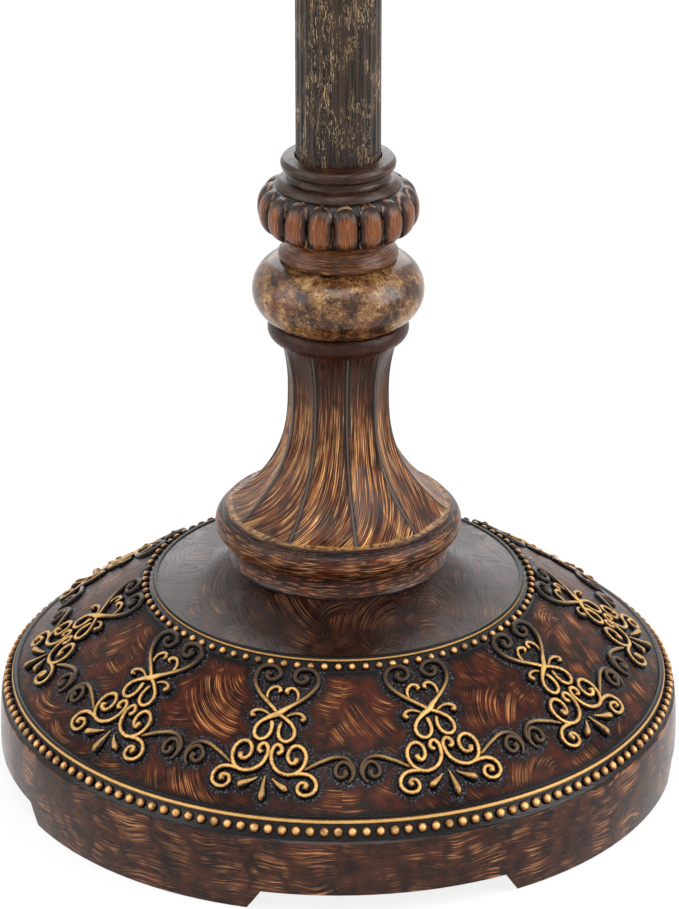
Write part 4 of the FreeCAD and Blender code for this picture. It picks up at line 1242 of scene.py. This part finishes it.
@dataclass(frozen=True)
class DomeProfile:
    """The slightly crowned cone that carries the scrolls, as radius and height."""

    foot: Point = (149.8, 43.9)
    top: Point = (91.6, 85.2)
    crown: float = 0.8

    def frame(self) -> tuple[Array, Array, Array]:
        """The foot, the way up the slope and the unit normal outwards.

        Returns:
            Those three, as radius and height.
        """
        foot, way = np.array(self.foot), np.array(self.top) - np.array(self.foot)
        normal = np.array([way[1], -way[0]]) / np.linalg.norm(way)
        return foot, way, normal

    def place(self, radius: Array, lift: Array | float = 0.0) -> Array:
        """Radius and height of points above the surface.

        Args:
            radius: where the points stand on the slope.
            lift: how far they are above it, along the normal.

        Returns:
            One row of radius and height for each point.
        """
        foot, way, normal = self.frame()
        share = (np.asarray(radius) - foot[0]) / way[0]
        bulge = 4 * self.crown * share * (1 - share) + lift
        return foot + share[:, None] * way + bulge[:, None] * normal

    def height_over(self, radius: Array, height: Array) -> Array:
        """How far points are above the surface, along the normal.

        Args:
            radius: the points' radius.
            height: the points' height.

        Returns:
            One number for each point.
        """
        foot, way, normal = self.frame()
        offset = np.column_stack([radius, height]) - foot
        share = offset @ way / (way @ way)
        return offset @ normal - 4 * self.crown * share * (1 - share)


@dataclass(frozen=True)
class Strand:
    """One bar of the scroll work: its line in plan (across, out from the axis) and its look."""

    line: Sequence[Point]
    thickness: float = 1.0      # half of the bar's, in mm
    tip: float = 0.7            # how much the knob at its start swells
    end: float = 1.0            # share of the thickness that is left at its end
    gilt: Point = (1.0, 1.0)    # how much gold is on its first part and on its last part
    drop: bool = False          # whether it's a petal in the form of a drop


HEART = Strand([
    (7.0, 94.9), (8.5, 94.7), (8.9, 96.0), (7.2, 97.1), (4.7, 96.6), (3.2, 94.4), (4.8, 92.1),
    (8.2, 91.2), (11.6, 91.7), (13.7, 93.7), (14.1, 96.5), (13.1, 99.4), (11.3, 101.8),
    (9.2, 103.9), (6.9, 105.7), (4.6, 107.4), (2.3, 109.1), (0.0, 110.9), (-2.5, 112.0),
    (-5.0, 113.3), (-7.3, 114.9), (-8.8, 117.2), (-8.6, 119.8), (-6.6, 121.5), (-4.0, 121.3),
    (-2.1, 119.4), (-1.6, 116.8), (-2.3, 113.6)],
    thickness=1.4, tip=1.4, end=0.9, gilt=(0.05, 1.0))
INNER_HEART = Strand([
    (2.4, 102.4), (1.4, 101.6), (1.9, 100.5), (3.4, 99.9), (5.1, 100.3), (6.5, 101.6), (7.0, 103.3),
    (6.6, 105.1), (5.6, 106.6)],
    thickness=1.2, tip=1.35, end=0.7, gilt=(1.0, 0.9))
SIDE_CURL = Strand([
    (10.0, 112.0), (11.2, 112.4), (11.7, 111.3), (10.8, 110.2), (9.1, 109.8), (7.2, 109.9),
    (5.2, 110.6), (3.4, 111.6)],
    thickness=1.25, tip=1.5, end=0.7, gilt=(0.9, 0.7))
TWIN_SCROLL = Strand([
    (11.6, 127.4), (12.5, 128.2), (12.0, 129.5), (10.5, 129.7), (9.0, 128.7), (8.2, 126.8),
    (8.5, 124.6), (10.0, 123.0), (12.1, 122.6), (14.2, 123.3), (15.8, 125.0), (16.4, 127.3),
    (16.0, 129.8), (14.7, 132.0), (12.5, 133.7), (9.7, 134.4), (6.7, 134.0), (4.0, 132.7),
    (2.0, 130.5), (1.0, 127.9), (0.9, 125.4), (1.9, 123.6), (3.4, 123.2), (4.8, 124.1),
    (5.1, 125.7), (4.1, 126.7), (3.1, 125.9)],
    thickness=1.45, tip=1.5, end=1.2)
LOWER_CURL = Strand([
    (17.6, 138.2), (18.9, 138.2), (18.9, 136.9), (17.3, 136.3), (15.7, 137.2), (15.3, 139.0),
    (16.4, 140.6), (18.8, 141.1), (21.4, 140.2), (23.1, 138.2), (23.0, 135.8), (21.2, 133.8),
    (18.6, 133.0), (15.8, 133.1), (12.9, 133.7), (10.4, 134.4)],
    thickness=1.45, tip=1.5, end=0.9, gilt=(0.9, 1.0))
LINK_CURL = Strand([
    (32.9, 128.6), (34.2, 128.3), (34.4, 129.8), (32.6, 131.0), (30.6, 130.3), (29.8, 128.2),
    (30.7, 125.9), (32.9, 124.6), (35.3, 125.3), (37.2, 127.1), (37.6, 129.9), (36.2, 132.2)],
    thickness=1.35, tip=1.4, end=0.6, gilt=(0.1, 0.1))
LINK = Strand([
    (37.4, 131.0), (37.9, 128.6), (37.4, 126.0), (35.6, 124.0), (33.2, 123.0), (30.3, 123.2),
    (27.3, 124.3), (24.4, 126.0), (21.5, 127.8), (18.8, 129.7), (16.3, 131.4)],
    thickness=1.35, tip=0.5, end=0.7, gilt=(0.1, 0.45))
PETAL = Strand([
    (3.4, 136.4), (5.4, 137.8), (7.8, 139.2), (10.9, 140.6)],
    thickness=2.9, gilt=(0.75, 0.8), drop=True)
MIDDLE_PETAL = Strand([
    (0.0, 135.6), (0.2, 139.2), (0.5, 142.4), (0.6, 145.6)],
    thickness=2.9, gilt=(0.7, 0.6), drop=True)
CROSSING = (0.0, 110.9)     # where the two sides of the heart cross, in plan


@dataclass(frozen=True)
class GiltLine:
    """A half-round gilt moulding between two circles."""

    name: str
    low: Point              # radius and height of its lower edge
    high: Point
    swell: float            # of its section over the straight line between them
    start: float            # crest at which its paint starts
    root: float = 1.5       # how far it goes down into the base
    columns: int = 720

    def build(self) -> None:
        """Makes the moulding and its paint."""
        (low_radius, low), (high_radius, high) = self.low, self.high
        section = outline([(low_radius, low - self.root), (low_radius, low, self.swell), self.high,
                           (high_radius, high - self.root)], 0.35)
        rise = np.clip((section[:, 1] - low) / (high - low), 0, 1)
        everywhere = np.ones((len(section), self.columns))
        # highest in the middle of the section, where the gold gets its painted highlight
        crest = (np.sin(math.pi * rise) ** 0.5 * 0.5 + 0.5)[:, None] * everywhere
        made = lathe(self.name, section, around(self.columns), crest=crest, gilt=everywhere)
        gold = GiltPaint(self.name + "_paint", start=self.start, worn=0.1)
        dress(made, gold, "stand", 60)


@dataclass(frozen=True)
class BeadRow:
    """A row of gilt beads round the base."""

    name: str
    count: int
    radius: float           # of the row
    height: float           # of the beads' middle over the floor
    half: float             # of a bead's width
    lean: float             # of a bead, in degrees
    flat: float             # a bead's height over its width
    size_spread: float = 0.05

    def build(self) -> None:
        """Makes one bead and copies it round the base."""
        shape = bmesh.new()
        bmesh.ops.create_uvsphere(shape, u_segments=10, v_segments=7, radius=self.half * MM)
        bmesh.ops.scale(shape, vec=(1, 1, self.flat), verts=shape.verts)
        mesh = bpy.data.meshes.new(self.name)
        shape.to_mesh(mesh)
        shape.free()
        top = self.half * self.flat * MM
        # crest rises from underside to top, so each bead gets a painted highlight on top and painted
        # shade below
        keep_mark(mesh, "crest", [0.5 + 0.5 * point.co.z / top for point in mesh.vertices])
        keep_mark(mesh, "gilt", np.ones(len(mesh.vertices)))
        gold = GiltPaint("gilt_bead_paint", start=0.7, pale="#e0b070", bright="#9b6634",
                         deep="#4f2c18", worn=0.75)
        ring = CopyRing(self.count, 0.0, self.radius, self.height, self.lean, self.size_spread)
        dress(ring.spread(put(self.name + "_one", mesh), self.name, gold), gold, "stand")


@dataclass
class BaseOrnament:
    """Scrolls, beads and the glazed ground on the dome."""

    dome: DomeProfile = field(default_factory=DomeProfile)
    motifs: int = 10
    first_motif: float = -14.2  # degrees
    sway: float = 2.4           # degrees by which the hand-set scrolls stray from an even ring
    step: float = 0.7           # between the points of a bar
    embed: float = 0.55         # height of a bar's middle over the dome, as a share of its half
    overpass: float = 0.7       # extra height of the bar that crosses over the other
    overpass_reach: float = 4.0     # how far from the crossing it starts to rise
    ground_lift: float = 0.22   # of the glazed skin over the dome
    ground_hem: float = 0.3     # how far the skin stops short of the dome's edges
    ground_root: float = 0.6    # how deep its edges go down
    ground_columns: int = 720
    ground_rows: int = 78
    motif_span: float = 0.55    # radians to each side that a motif reaches

    def build(self) -> None:
        """Makes the scrolls, the beads and the ground."""
        points, edges, thickness, gilt = self.strands()
        self.ground(points, thickness)
        motif = make_object("motif", points, [], edges, thickness=thickness * MM, gilt=gilt)
        gold = GiltPaint("gilt_scroll_paint")
        ring = CopyRing(self.motifs, self.first_motif, sway=self.sway, sides=10)
        scrolls = ring.spread(motif, "scroll_work", gold)
        self.mark_crest(scrolls)
        dress(scrolls, gold, "stand")
        GiltLine("inner_gilt_line", (86.2, 87.4), (83.8, 88.8), 1.25, 0.72).build()
        GiltLine("outer_gilt_line", (152.6, 42.0), (149.8, 43.9), 1.3, 0.6).build()
        BeadRow("inner_beads", 92, 89.5, 86.2, 1.9, 35.0, 0.9).build()
        BeadRow("outer_beads", 158, 154.4, 39.0, 2.5, 52.0, 0.95).build()

    def strands(self) -> tuple[Array, list[Point], Array, Array]:
        """The lines of one motif on the dome, with their thickness and gilding.

        Returns:
            The points, the edges between them, half the thickness at each point, and how gilt it is.
        """
        points, edges, thickness, gilt = [], [], [], []
        halves = [INNER_HEART, SIDE_CURL, TWIN_SCROLL, LOWER_CURL, LINK, LINK_CURL, PETAL]
        bars = [(HEART, 1, self.overpass), (HEART, -1, 0.0), (MIDDLE_PETAL, 1, 0.0)]
        bars += [(bar, side, 0.0) for bar in halves for side in (1, -1)]
        for bar, side, over in bars:
            line = smooth_line(bar.line, self.step) * (side, 1)
            reach = reaches(line)
            width = self.widths(bar, reach)
            crossing = over * np.exp(-(np.hypot(*(line - CROSSING).T) / self.overpass_reach) ** 2)
            radius = np.hypot(line[:, 0], line[:, 1])
            angle = np.arctan2(line[:, 0], line[:, 1])
            place = self.dome.place(radius, width * self.embed + crossing)
            start = len(points)
            points += [(r * math.sin(a), -r * math.cos(a), z) for (r, z), a in zip(place, angle)]
            edges += [(i, i + 1) for i in range(start, len(points) - 1)]
            thickness += list(width)
            gilt += list(np.interp(reach, [reach[-1] * 0.35, reach[-1] * 0.6], bar.gilt))
        return np.array(points), edges, np.array(thickness), np.array(gilt)

    @staticmethod
    def widths(bar: Strand, reach: Array) -> Array:
        """Half the thickness along a bar, with rounded ends.

        Args:
            bar: the bar.
            reach: how far along it each of its points is.

        Returns:
            One number for each point.
        """
        length = reach[-1]
        if bar.drop:    # it swells all the way and rounds off over its last 0.28
            share = reach / length
            rounding = 1 - np.clip((share - 0.72) / 0.28, 0, 1) ** 2.4
            return bar.thickness * (0.22 + 0.78 * share ** 1.1) * np.sqrt(np.clip(rounding, 0.02, 1))
        knob = bar.thickness * (1 + (bar.tip - 1) * np.exp(-((reach - bar.tip) / 1.5) ** 2))
        taper = np.interp(reach, [length - 6, length], [1, bar.end])
        near = np.clip(np.minimum(reach / bar.tip, (length - reach) / (bar.thickness * bar.end)), 0, 1)
        return knob * taper * np.sqrt(np.clip(1 - (1 - near) ** 2, 0.03, 1))

    def mark_crest(self, thing: Thing) -> None:
        """Stores how far each point stands above the dome, as a share of its bar's height, which the
        gold paint turns into a painted highlight on top and painted shade at the foot.

        Args:
            thing: the scrolls.
        """
        mesh = thing.data
        place = np.zeros(len(mesh.vertices) * 3, np.float32)
        mesh.vertices.foreach_get("co", place)
        place = place.reshape(-1, 3) / MM
        thick = np.zeros(len(mesh.vertices), np.float32)
        mesh.attributes["thickness"].data.foreach_get("value", thick)
        rise = self.dome.height_over(np.hypot(place[:, 0], place[:, 1]), place[:, 2])
        share = rise / np.maximum(thick / MM * (1 + self.embed), 0.3)
        keep_mark(mesh, "crest", np.clip(share, 0, 1))

    def ground(self, strand_points: Array, thickness: Array) -> None:
        """The glazed skin of the dome, which knows how near the scrolls are at each point.

        Args:
            strand_points: the points of one motif's bars.
            thickness: half the thickness at each of them.
        """
        shares = np.linspace(0, 1, self.ground_rows)
        foot, top = self.dome.foot[0] - self.ground_hem, self.dome.top[0] + self.ground_hem
        slope = self.dome.place(foot + (top - foot) * shares, self.ground_lift)
        hems = self.dome.place(np.array([foot, top]), -self.ground_root)
        rows = np.vstack([hems[:1], slope, hems[1:]])
        angles = around(self.ground_columns)
        near = self.nearness(rows, angles, strand_points, thickness)
        lacquer = DomeLacquer("copper_brushed_dome_lacquer", Strokes.SWIRLS, ground="#1c0a05",
                              body="#42190c", copper="#9c5930", gold="#e2a468", cover=0.85,
                              gilding=0.8, gloss=0.1)
        dress(lathe("dome_glaze", rows, angles, relief_gap=near), lacquer, "stand", 40)

    def nearness(self, rows: Array, angles: Array, strand_points: Array,
                 thickness: Array) -> Array:
        """Distance from each point of the skin to the nearest bar.

        Args:
            rows: radius and height of the skin's rows.
            angles: where its columns stand.
            strand_points: the points of one motif's bars.
            thickness: half the thickness at each of them.

        Returns:
            One number for each row and column.
        """
        found = np.full((len(rows), len(angles)), 99.0)     # for where no bar is near
        even = math.radians(self.first_motif) + np.arange(self.motifs) / self.motifs * TURN
        radius, height = rows[:, 0, None], rows[:, 1, None]
        for motif in even - math.radians(self.sway) * np.sin(even):
            shift = (angles - motif + math.pi) % TURN - math.pi
            close = np.abs(shift) < self.motif_span
            turn = shift[close]
            place = np.stack([radius * np.sin(turn), -radius * np.cos(turn), height + 0 * turn],
                             axis=2).reshape(-1, 1, 3)
            for part in np.array_split(np.arange(len(strand_points)), 8):    # to spare memory
                gap = np.linalg.norm(place - strand_points[part], axis=2) - thickness[part]
                found[:, close] = np.minimum(found[:, close], gap.min(axis=1).reshape(len(rows), -1))
        return found


# ---------------------------------------------------------------- vases and collars


@dataclass
class FlutedVase:
    """A vase with scooped flutes between narrow ridges, a rolled rim at its wide end and a ring."""

    name: str
    node: str
    foot: float
    height: float
    rim: tuple[float, float, float, float] = (50.6, 52.4, 12.4, 5.2)    # foot, top, height, swell
    line_top: float = 14.2              # height at which the flutes start
    flute_foot: float = 50.2            # radius there
    waist: Point = (23.2, 73.0)         # radius and height
    flute_end: Point = (27.0, 97.0)     # radius and height
    ring_top: float = 29.8              # radius
    ring_swell: float = 3.6
    first_ridge: float = 9.6            # degrees
    way: int = 1                        # 1 upright, -1 upside down
    flutes: int = 10
    depth: float = 2.5
    columns: int = 400

    def ridge_radius(self, height: Array) -> Array:
        """Radius of the ridges at a height.

        Args:
            height: heights over the foot.

        Returns:
            One radius for each height.
        """
        waist_radius, waist_height = self.waist
        end_radius, end_height = self.flute_end
        below = np.clip((waist_height - height) / (waist_height - self.line_top), 0, 1)
        above = np.clip((height - waist_height) / (end_height - waist_height), 0, 1)
        return (waist_radius + (self.flute_foot - waist_radius) * below ** 2.8
                + (end_radius - waist_radius) * above ** 2)

    def section(self) -> Array:
        """The section through a ridge.

        Returns:
            One row of radius and height for each point.
        """
        heights = np.linspace(self.line_top, self.flute_end[1], 400)
        side = evenly(np.column_stack([self.ridge_radius(heights), heights]), 1.1)
        rim_foot, rim_top, rim_height, rim_swell = self.rim
        corners = [(PIPE_HOLE, 0.0), (rim_foot, 0.0, rim_swell), (rim_top, rim_height, 0.7),
                   (self.flute_foot + 0.7, self.line_top), *map(tuple, side[:-1]),
                   (*self.flute_end, self.ring_swell), (self.ring_top, self.height),
                   (PIPE_HOLE, self.height)]
        return outline(corners)

    def build(self) -> None:
        """Makes the vase and puts it in the place of its plain solid."""
        section = self.section()
        height = section[:, 1]
        angles = around(self.columns, self.first_ridge)
        pitch = TURN / self.flutes
        across = np.abs(((angles - angles[0]) / pitch + 0.5) % 1 - 0.5) * 2
        fluted = (height > self.line_top - 0.01) & (height < self.flute_end[1])
        share = (height - self.line_top) / (self.flute_end[1] - self.line_top)
        land = np.interp(share, [0, 0.12, 1], [0.0, 0.09, 0.13])[:, None]
        deep = self.depth * np.interp(share, [0, 0.025, 0.35, 0.7, 0.92, 1],
                                      [0.3, 0.9, 1.0, 0.85, 0.45, 0])
        scoop = np.clip((across - land) / (1 - land), 0, 1)
        bowl = 1 - (1 - scoop) ** 2.3
        inward = np.where(fluted, deep, 0)[:, None] * bowl
        ridge = across * pitch / 2 * section[:, 0, None] + np.where(fluted, 0, 9)[:, None]
        made = lathe(self.name, section, angles, inward, self.foot, self.way, ridge=ridge,
                     rise=height[:, None] + 0 * ridge, grain=self.grain(section, angles, fluted))
        lacquer = VaseLacquer("fluted_vase_lacquer", Strokes.FANNED, ground="#220d07",
                              body="#461d0e", copper="#ab6a38", gold="#f2be7e", cover=0.9,
                              gilding=1.0, patch=10.0)
        dress(made, lacquer, "stand", 50)
        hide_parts(self.node)

    def grain(self, section: Array, angles: Array, fluted: Array) -> Array:
        """Brush strokes: slanted at the wide end, upright at the waist, level on rim and ring.

        Args:
            section: radius and height of each row.
            angles: where the columns stand.
            fluted: whether each row is in the flutes.

        Returns:
            Three numbers for each row and column.
        """
        reach = reaches(section)
        start = reach[np.argmax(fluted)]
        slant = 0.5 * (1 - np.exp(-np.clip(reach - start, 0, None) / 20))
        bearing = angles - slant[:, None] * fluted[:, None]
        count = np.where(fluted, 75.0, 6.0)[:, None]
        along = np.where(fluted, reach / 22.0, reach / 0.6)[:, None] + 0 * bearing
        return np.stack([np.sin(bearing) * count, np.cos(bearing) * count, along], axis=2)


@dataclass
class GadroonCollar:
    """A collar with rounded lobes, a flat ring, and a lip that holds the tube."""

    name: str
    node: str
    foot: float
    way: int = 1                    # 1 upright, -1 upside down
    first_gap: float = -4.2         # degrees
    lobes: int = 18
    columns_per_lobe: int = 22
    belly: tuple[float, float, float] = (27.6, 13.0, 34.4)    # radius, foot, top
    hollow_swell: float = 5.0       # of the hollows between the lobes, past the belly's radius
    lobe_swell: float = 3.7         # of the lobes, past the hollows

    def build(self) -> None:
        """Makes the collar and puts it in the place of its plain solid."""
        radius, belly_foot, belly_top = self.belly
        turn = np.linspace(-math.pi / 2, math.pi / 2, 34)
        middle, half = (belly_foot + belly_top) / 2, (belly_top - belly_foot) / 2
        side = [(radius, middle + half * math.sin(t)) for t in turn]
        section = outline([
            (PIPE_HOLE, 0.0), (25.9, 0.0, 0.9), (26.5, 3.8, -0.7), (24.4, 8.6, -0.5), *side,
            (28.1, 34.6), (28.1, 35.3), (25.4, 37.9), (24.7, 38.1, -1.1), (22.9, 41.9),
            (23.4, 42.5, 0.9), (25.7, 44.6, 0.3), (25.4, 46.2, 0.5), (23.6, 47.6), (19.6, 48.3),
            (19.45, 40.0), (PIPE_HOLE, 40.0)], 0.8)
        columns = self.lobes * self.columns_per_lobe
        share = np.arange(columns) / self.columns_per_lobe
        angles = share / self.lobes * TURN + math.radians(self.first_gap)
        level = np.clip((section[:, 1] - middle) / half, -1, 1)[:, None]
        across = np.abs(2 * (share % 1) - 1)[None]
        belly = (np.abs(level) < 0.9999) & (np.abs(section[:, 0, None] - radius) < 0.01)
        edge = across ** 2.8 + np.abs(level) ** 3.0
        swell = (self.hollow_swell * np.sqrt(1 - level ** 2)
                 + self.lobe_swell * np.sqrt(np.clip(1 - edge, 0, 1)))
        reach = reaches(section)[:, None]
        fine = np.where(belly, 80.0, 3.0)
        grain = np.stack([np.sin(angles) * fine, np.cos(angles) * fine,
                          np.where(belly, reach / 8.0, reach / 0.5) + 0 * angles], axis=2)
        spots = np.where(section[:, 1, None] < belly_foot, 0.3, 0.55) + 0 * edge
        made = lathe(self.name, section, angles, -np.where(belly, swell, 0), self.foot, self.way,
                     lobe=np.where(belly, edge, spots), grain=grain)
        lacquer = LobeLacquer("gadroon_lacquer", Strokes.FANNED, ground="#1a0b06", body="#3e1c0e",
                              copper="#965729", gold="#e0a45f", gilding=0.7, cover=0.5, patch=6.0,
                              rough=0.22, gloss=0.3)
        dress(made, lacquer, "stand", 50)
        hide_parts(self.node)


# ---------------------------------------------------------------- the shade


@dataclass
class LampShade:
    """Linen over eight ribs, with piped seams and a braid round both rims."""

    top: float = 1526.8             # over the floor
    height: float = 255.0
    top_radius: float = 115.0
    foot_radius: float = 215.0
    gap: float = 0.35               # between the frame and the cloth
    thickness: float = 0.9
    gores: int = 8
    columns_per_gore: int = 26
    rows: int = 44
    slack: float = 1.3              # how far the cloth goes in between two ribs
    piping: float = 0.8             # half the thickness of the cord on a seam
    braid_height: float = 12.0
    ribbon: float = 0.8             # thickness of the braid's ribbon
    edge_cord: float = 2.4          # width of the cord on each edge of the ribbon
    loop_corners: int = 12

    def build(self) -> None:
        cloth = self.cloth()
        seams = self.seams()
        braids = [self.braid("top_braid", "shade_top_trim", 0.0, 148),
                  self.braid("bottom_braid", "shade_bottom_trim", self.height - self.braid_height, 272)]

    def radius(self, drop: Array | float) -> Array | float:
        """Radius of the shade's frame at a distance below its top."""
        return self.top_radius + (self.foot_radius - self.top_radius) * drop / self.height

    def cloth(self) -> Thing:
        """The gores, drawn in a little between the ribs.

        Returns:
            The cloth.
        """
        drops = np.linspace(self.height, 0, self.rows)
        inner = self.radius(drops) + self.gap
        outer = inner + self.thickness
        section = np.vstack([np.column_stack([outer, -drops]),
                             np.column_stack([inner, -drops])[::-1]])
        columns = self.gores * self.columns_per_gore
        share = np.arange(columns) / self.columns_per_gore
        level = np.sin(math.pi * section[:, 1] / self.height)[:, None]
        inward = self.slack * np.abs(level) * np.sin(math.pi * share) ** 2
        made = lathe("linen_gores", section, share / self.gores * TURN, inward, self.top)
        dress(made, WovenLinen("woven_cream_linen"), "shade", 50)
        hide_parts("shade_fabric")
        return made

    def seams(self) -> Thing:
        """A cord piped along each seam.

        Returns:
            The cords, as one piece.
        """
        drops = np.linspace(self.height - self.braid_height, self.braid_height, 24)
        out = self.radius(drops) + self.gap + self.thickness + self.piping * 0.7
        points = np.column_stack([0 * drops, -out, self.top - drops])
        line = make_object("seam", points, [], [(i, i + 1) for i in range(len(drops) - 1)],
                           thickness=np.full(len(drops), self.piping * MM))
        cord = TwistedCord("twisted_rayon_piping")
        made = CopyRing(self.gores, sides=8).spread(line, "seam_piping", cord)
        return dress(made, cord, "shade")

    def braid(self, name: str, node_name: str, drop: float, loops: int) -> Thing:
        """A braid round a rim: a ribbon with a cord on each edge and a row of loops between.

        Args:
            name: the piece's name.
            node_name: the solid that it takes the place of.
            drop: how far the braid's top is below the shade's.
            loops: how many loops go round.

        Returns:
            The braid.
        """
        foot_drop, middle = drop + self.braid_height, drop + self.braid_height / 2
        lift = self.gap + self.thickness
        low, high = [self.radius(d) + lift for d in (foot_drop, drop)]
        slope = (self.foot_radius - self.top_radius) / self.height
        lean, width = self.edge_cord * slope, self.edge_cord
        section = outline([
            (low + 0.1, -foot_drop), (low + self.ribbon, -foot_drop, 1.1),
            (low + self.ribbon - lean, width - foot_drop),
            (high + self.ribbon + lean, -drop - width, 1.1), (high + self.ribbon, -drop),
            (high + 0.1, -drop)], 0.5)
        band = lathe(name + "_ribbon", section, around(360), 0.0, self.top)
        turn = around(self.loop_corners)
        half = self.braid_height / 2 - 2.0
        pitch = TURN * self.radius(middle) / loops
        points = np.column_stack([np.cos(turn) * pitch * 0.8 + np.sin(turn) * pitch * 0.5, 0 * turn,
                                  np.sin(turn) * half])
        loop = make_object("loop", points, [],
                           [(i, (i + 1) % self.loop_corners) for i in range(self.loop_corners)],
                           thickness=np.full(self.loop_corners, 0.65 * MM))
        cord = TwistedCord("twisted_rayon_braid")
        ring = CopyRing(loops, 0.0, self.radius(middle) + lift + 1.1, self.top - middle,
                        -math.degrees(math.atan(slope)), sides=5)
        made = ring.spread(loop, name, cord)
        self.join(made, band)
        dress(made, cord, "shade", 60)
        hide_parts(node_name)
        return made

    @staticmethod
    def join(thing: Thing, other: Thing) -> None:
        """Takes another object's mesh into one, and removes the other object.

        Args:
            thing: the object that stays.
            other: the one that goes.
        """
        both = bmesh.new()
        both.from_mesh(thing.data)
        both.from_mesh(other.data)
        both.to_mesh(thing.data)
        both.free()
        bpy.data.objects.remove(other)


# ---------------------------------------------------------------- plain parts


HARDWARE: dict[Finish, tuple[str, ...]] = {
    BaseLacquer("brushed_base_lacquer", Strokes.SWIRLS, ground="#1e0d07", body="#3c1c10",
                copper="#925836", gold="#d0985f", patch=22.0, gloss=0.25, rough=0.17): (
        "base_casting",),
    LacqueredResin("brushed_pan_lacquer", Strokes.SWIRLS): ("drip_pan",),
    PolishedStone("polished_granite"): ("stone_ring", "upper_stone_ring"),
    ScratchedTubePaint("dry_brushed_tube_lacquer"): ("lower_tube", "upper_tube"),
    Metal("gilt_turned_ring", "#c3924a", "#6d4620", (8.0, 8.0, 0.5), 0.3): ("tube_coupling",),
    Metal("zinc_plated_steel", "#b9bab8", "#8d8f8f", (0.8, 0.8, 5.0), 0.32): (
        "base_washer", "base_nut", "cover_screws", "lower_rod", "lower_plug", "upper_plug",
        "upper_rod", "bulb_contact"),
    Metal("sand_cast_iron", "#3f4042", "#2a2a2c", (0.9, 0.9, 0.9), 0.68, 0.25, 0.7): ("ballast_disc",),
    Dull("black_stoving_enamel", "#1f1e1d", "#121110", 1.4, 0.34, 0.04, 0.2): ("bottom_cover",),
    Dull("moulded_rubber_pad", "#2b2927", "#1c1a19", 0.6, 0.8): ("foot_pads",),
    Dull("black_rubber_bushing", "#1d1d1d", "#111111", 0.6, 0.7): ("cord_bushing",),
    Metal("antique_brass_spun"): (
        "harp_saddle", "socket_cap", "socket_shell", "centre_contact", "switch_shaft", "harp",
        "harp_sleeve_left", "harp_sleeve_right", "finial"),
    Dull("pressed_fibre_card", "#8d765a", "#6f5a41", 0.4, 0.9, 0.06): ("socket_liner",),
    Dull("moulded_black_phenolic", "#1b1715", "#100d0c", 3.0, 0.3, 0.02, 0.3): (
        "socket_interior", "switch_knob"),
    Metal("drawn_aluminium", "#d2d3d4", "#aeb0b2", (5.0, 5.0, 0.3), 0.3): ("screw_shell", "bulb_cap"),
    Dull("fused_black_glass", "#0c0c0e", "#08080a", 2.0, 0.1, 0.005, 0.5): ("bulb_insulator",),
    Dull("frosted_bulb_glass", "#f1efe9", "#e9e7df", 0.3, 0.42, 0.01, 0.35): ("bulb_globe",),
    Metal("brass_plated_wire", "#b79a62", "#86693a", (0.7, 0.7, 0.7), 0.3): (
        "shade_spider", "shade_bottom_ring", "shade_ribs"),
}


def dress_solids() -> None:
    """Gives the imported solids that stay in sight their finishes."""
    for finish, names in HARDWARE.items():
        for name in names:
            coat(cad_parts[name], finish)
            log.info("%s: solid in %s", name, finish.name)


def main() -> None:
    """Builds the lamp's pieces in order."""
    Studio().build()
    dress_solids()
    BaseOrnament().build()
    FlutedVase("fluted_pedestal", "pedestal_casting", 111.8, 106.6).build()
    FlutedVase("fluted_cup", "candle_cup", 1276.0, 78.0, (40.0, 41.6, 9.6, 4.0), 11.1, 39.6,
               (20.0, 52.0), (23.6, 69.0), 29.8, 3.0, -9.6, -1, depth=2.0).build()
    GadroonCollar("lobed_collar", "gadroon_collar", 247.7).build()
    GadroonCollar("upper_lobed_collar", "upper_collar", 1168.7, -1, -5.8).build()
    LampShade().build()


if __name__ == "__main__":
    logging.basicConfig(level=logging.INFO, format="%(message)s")
    main()
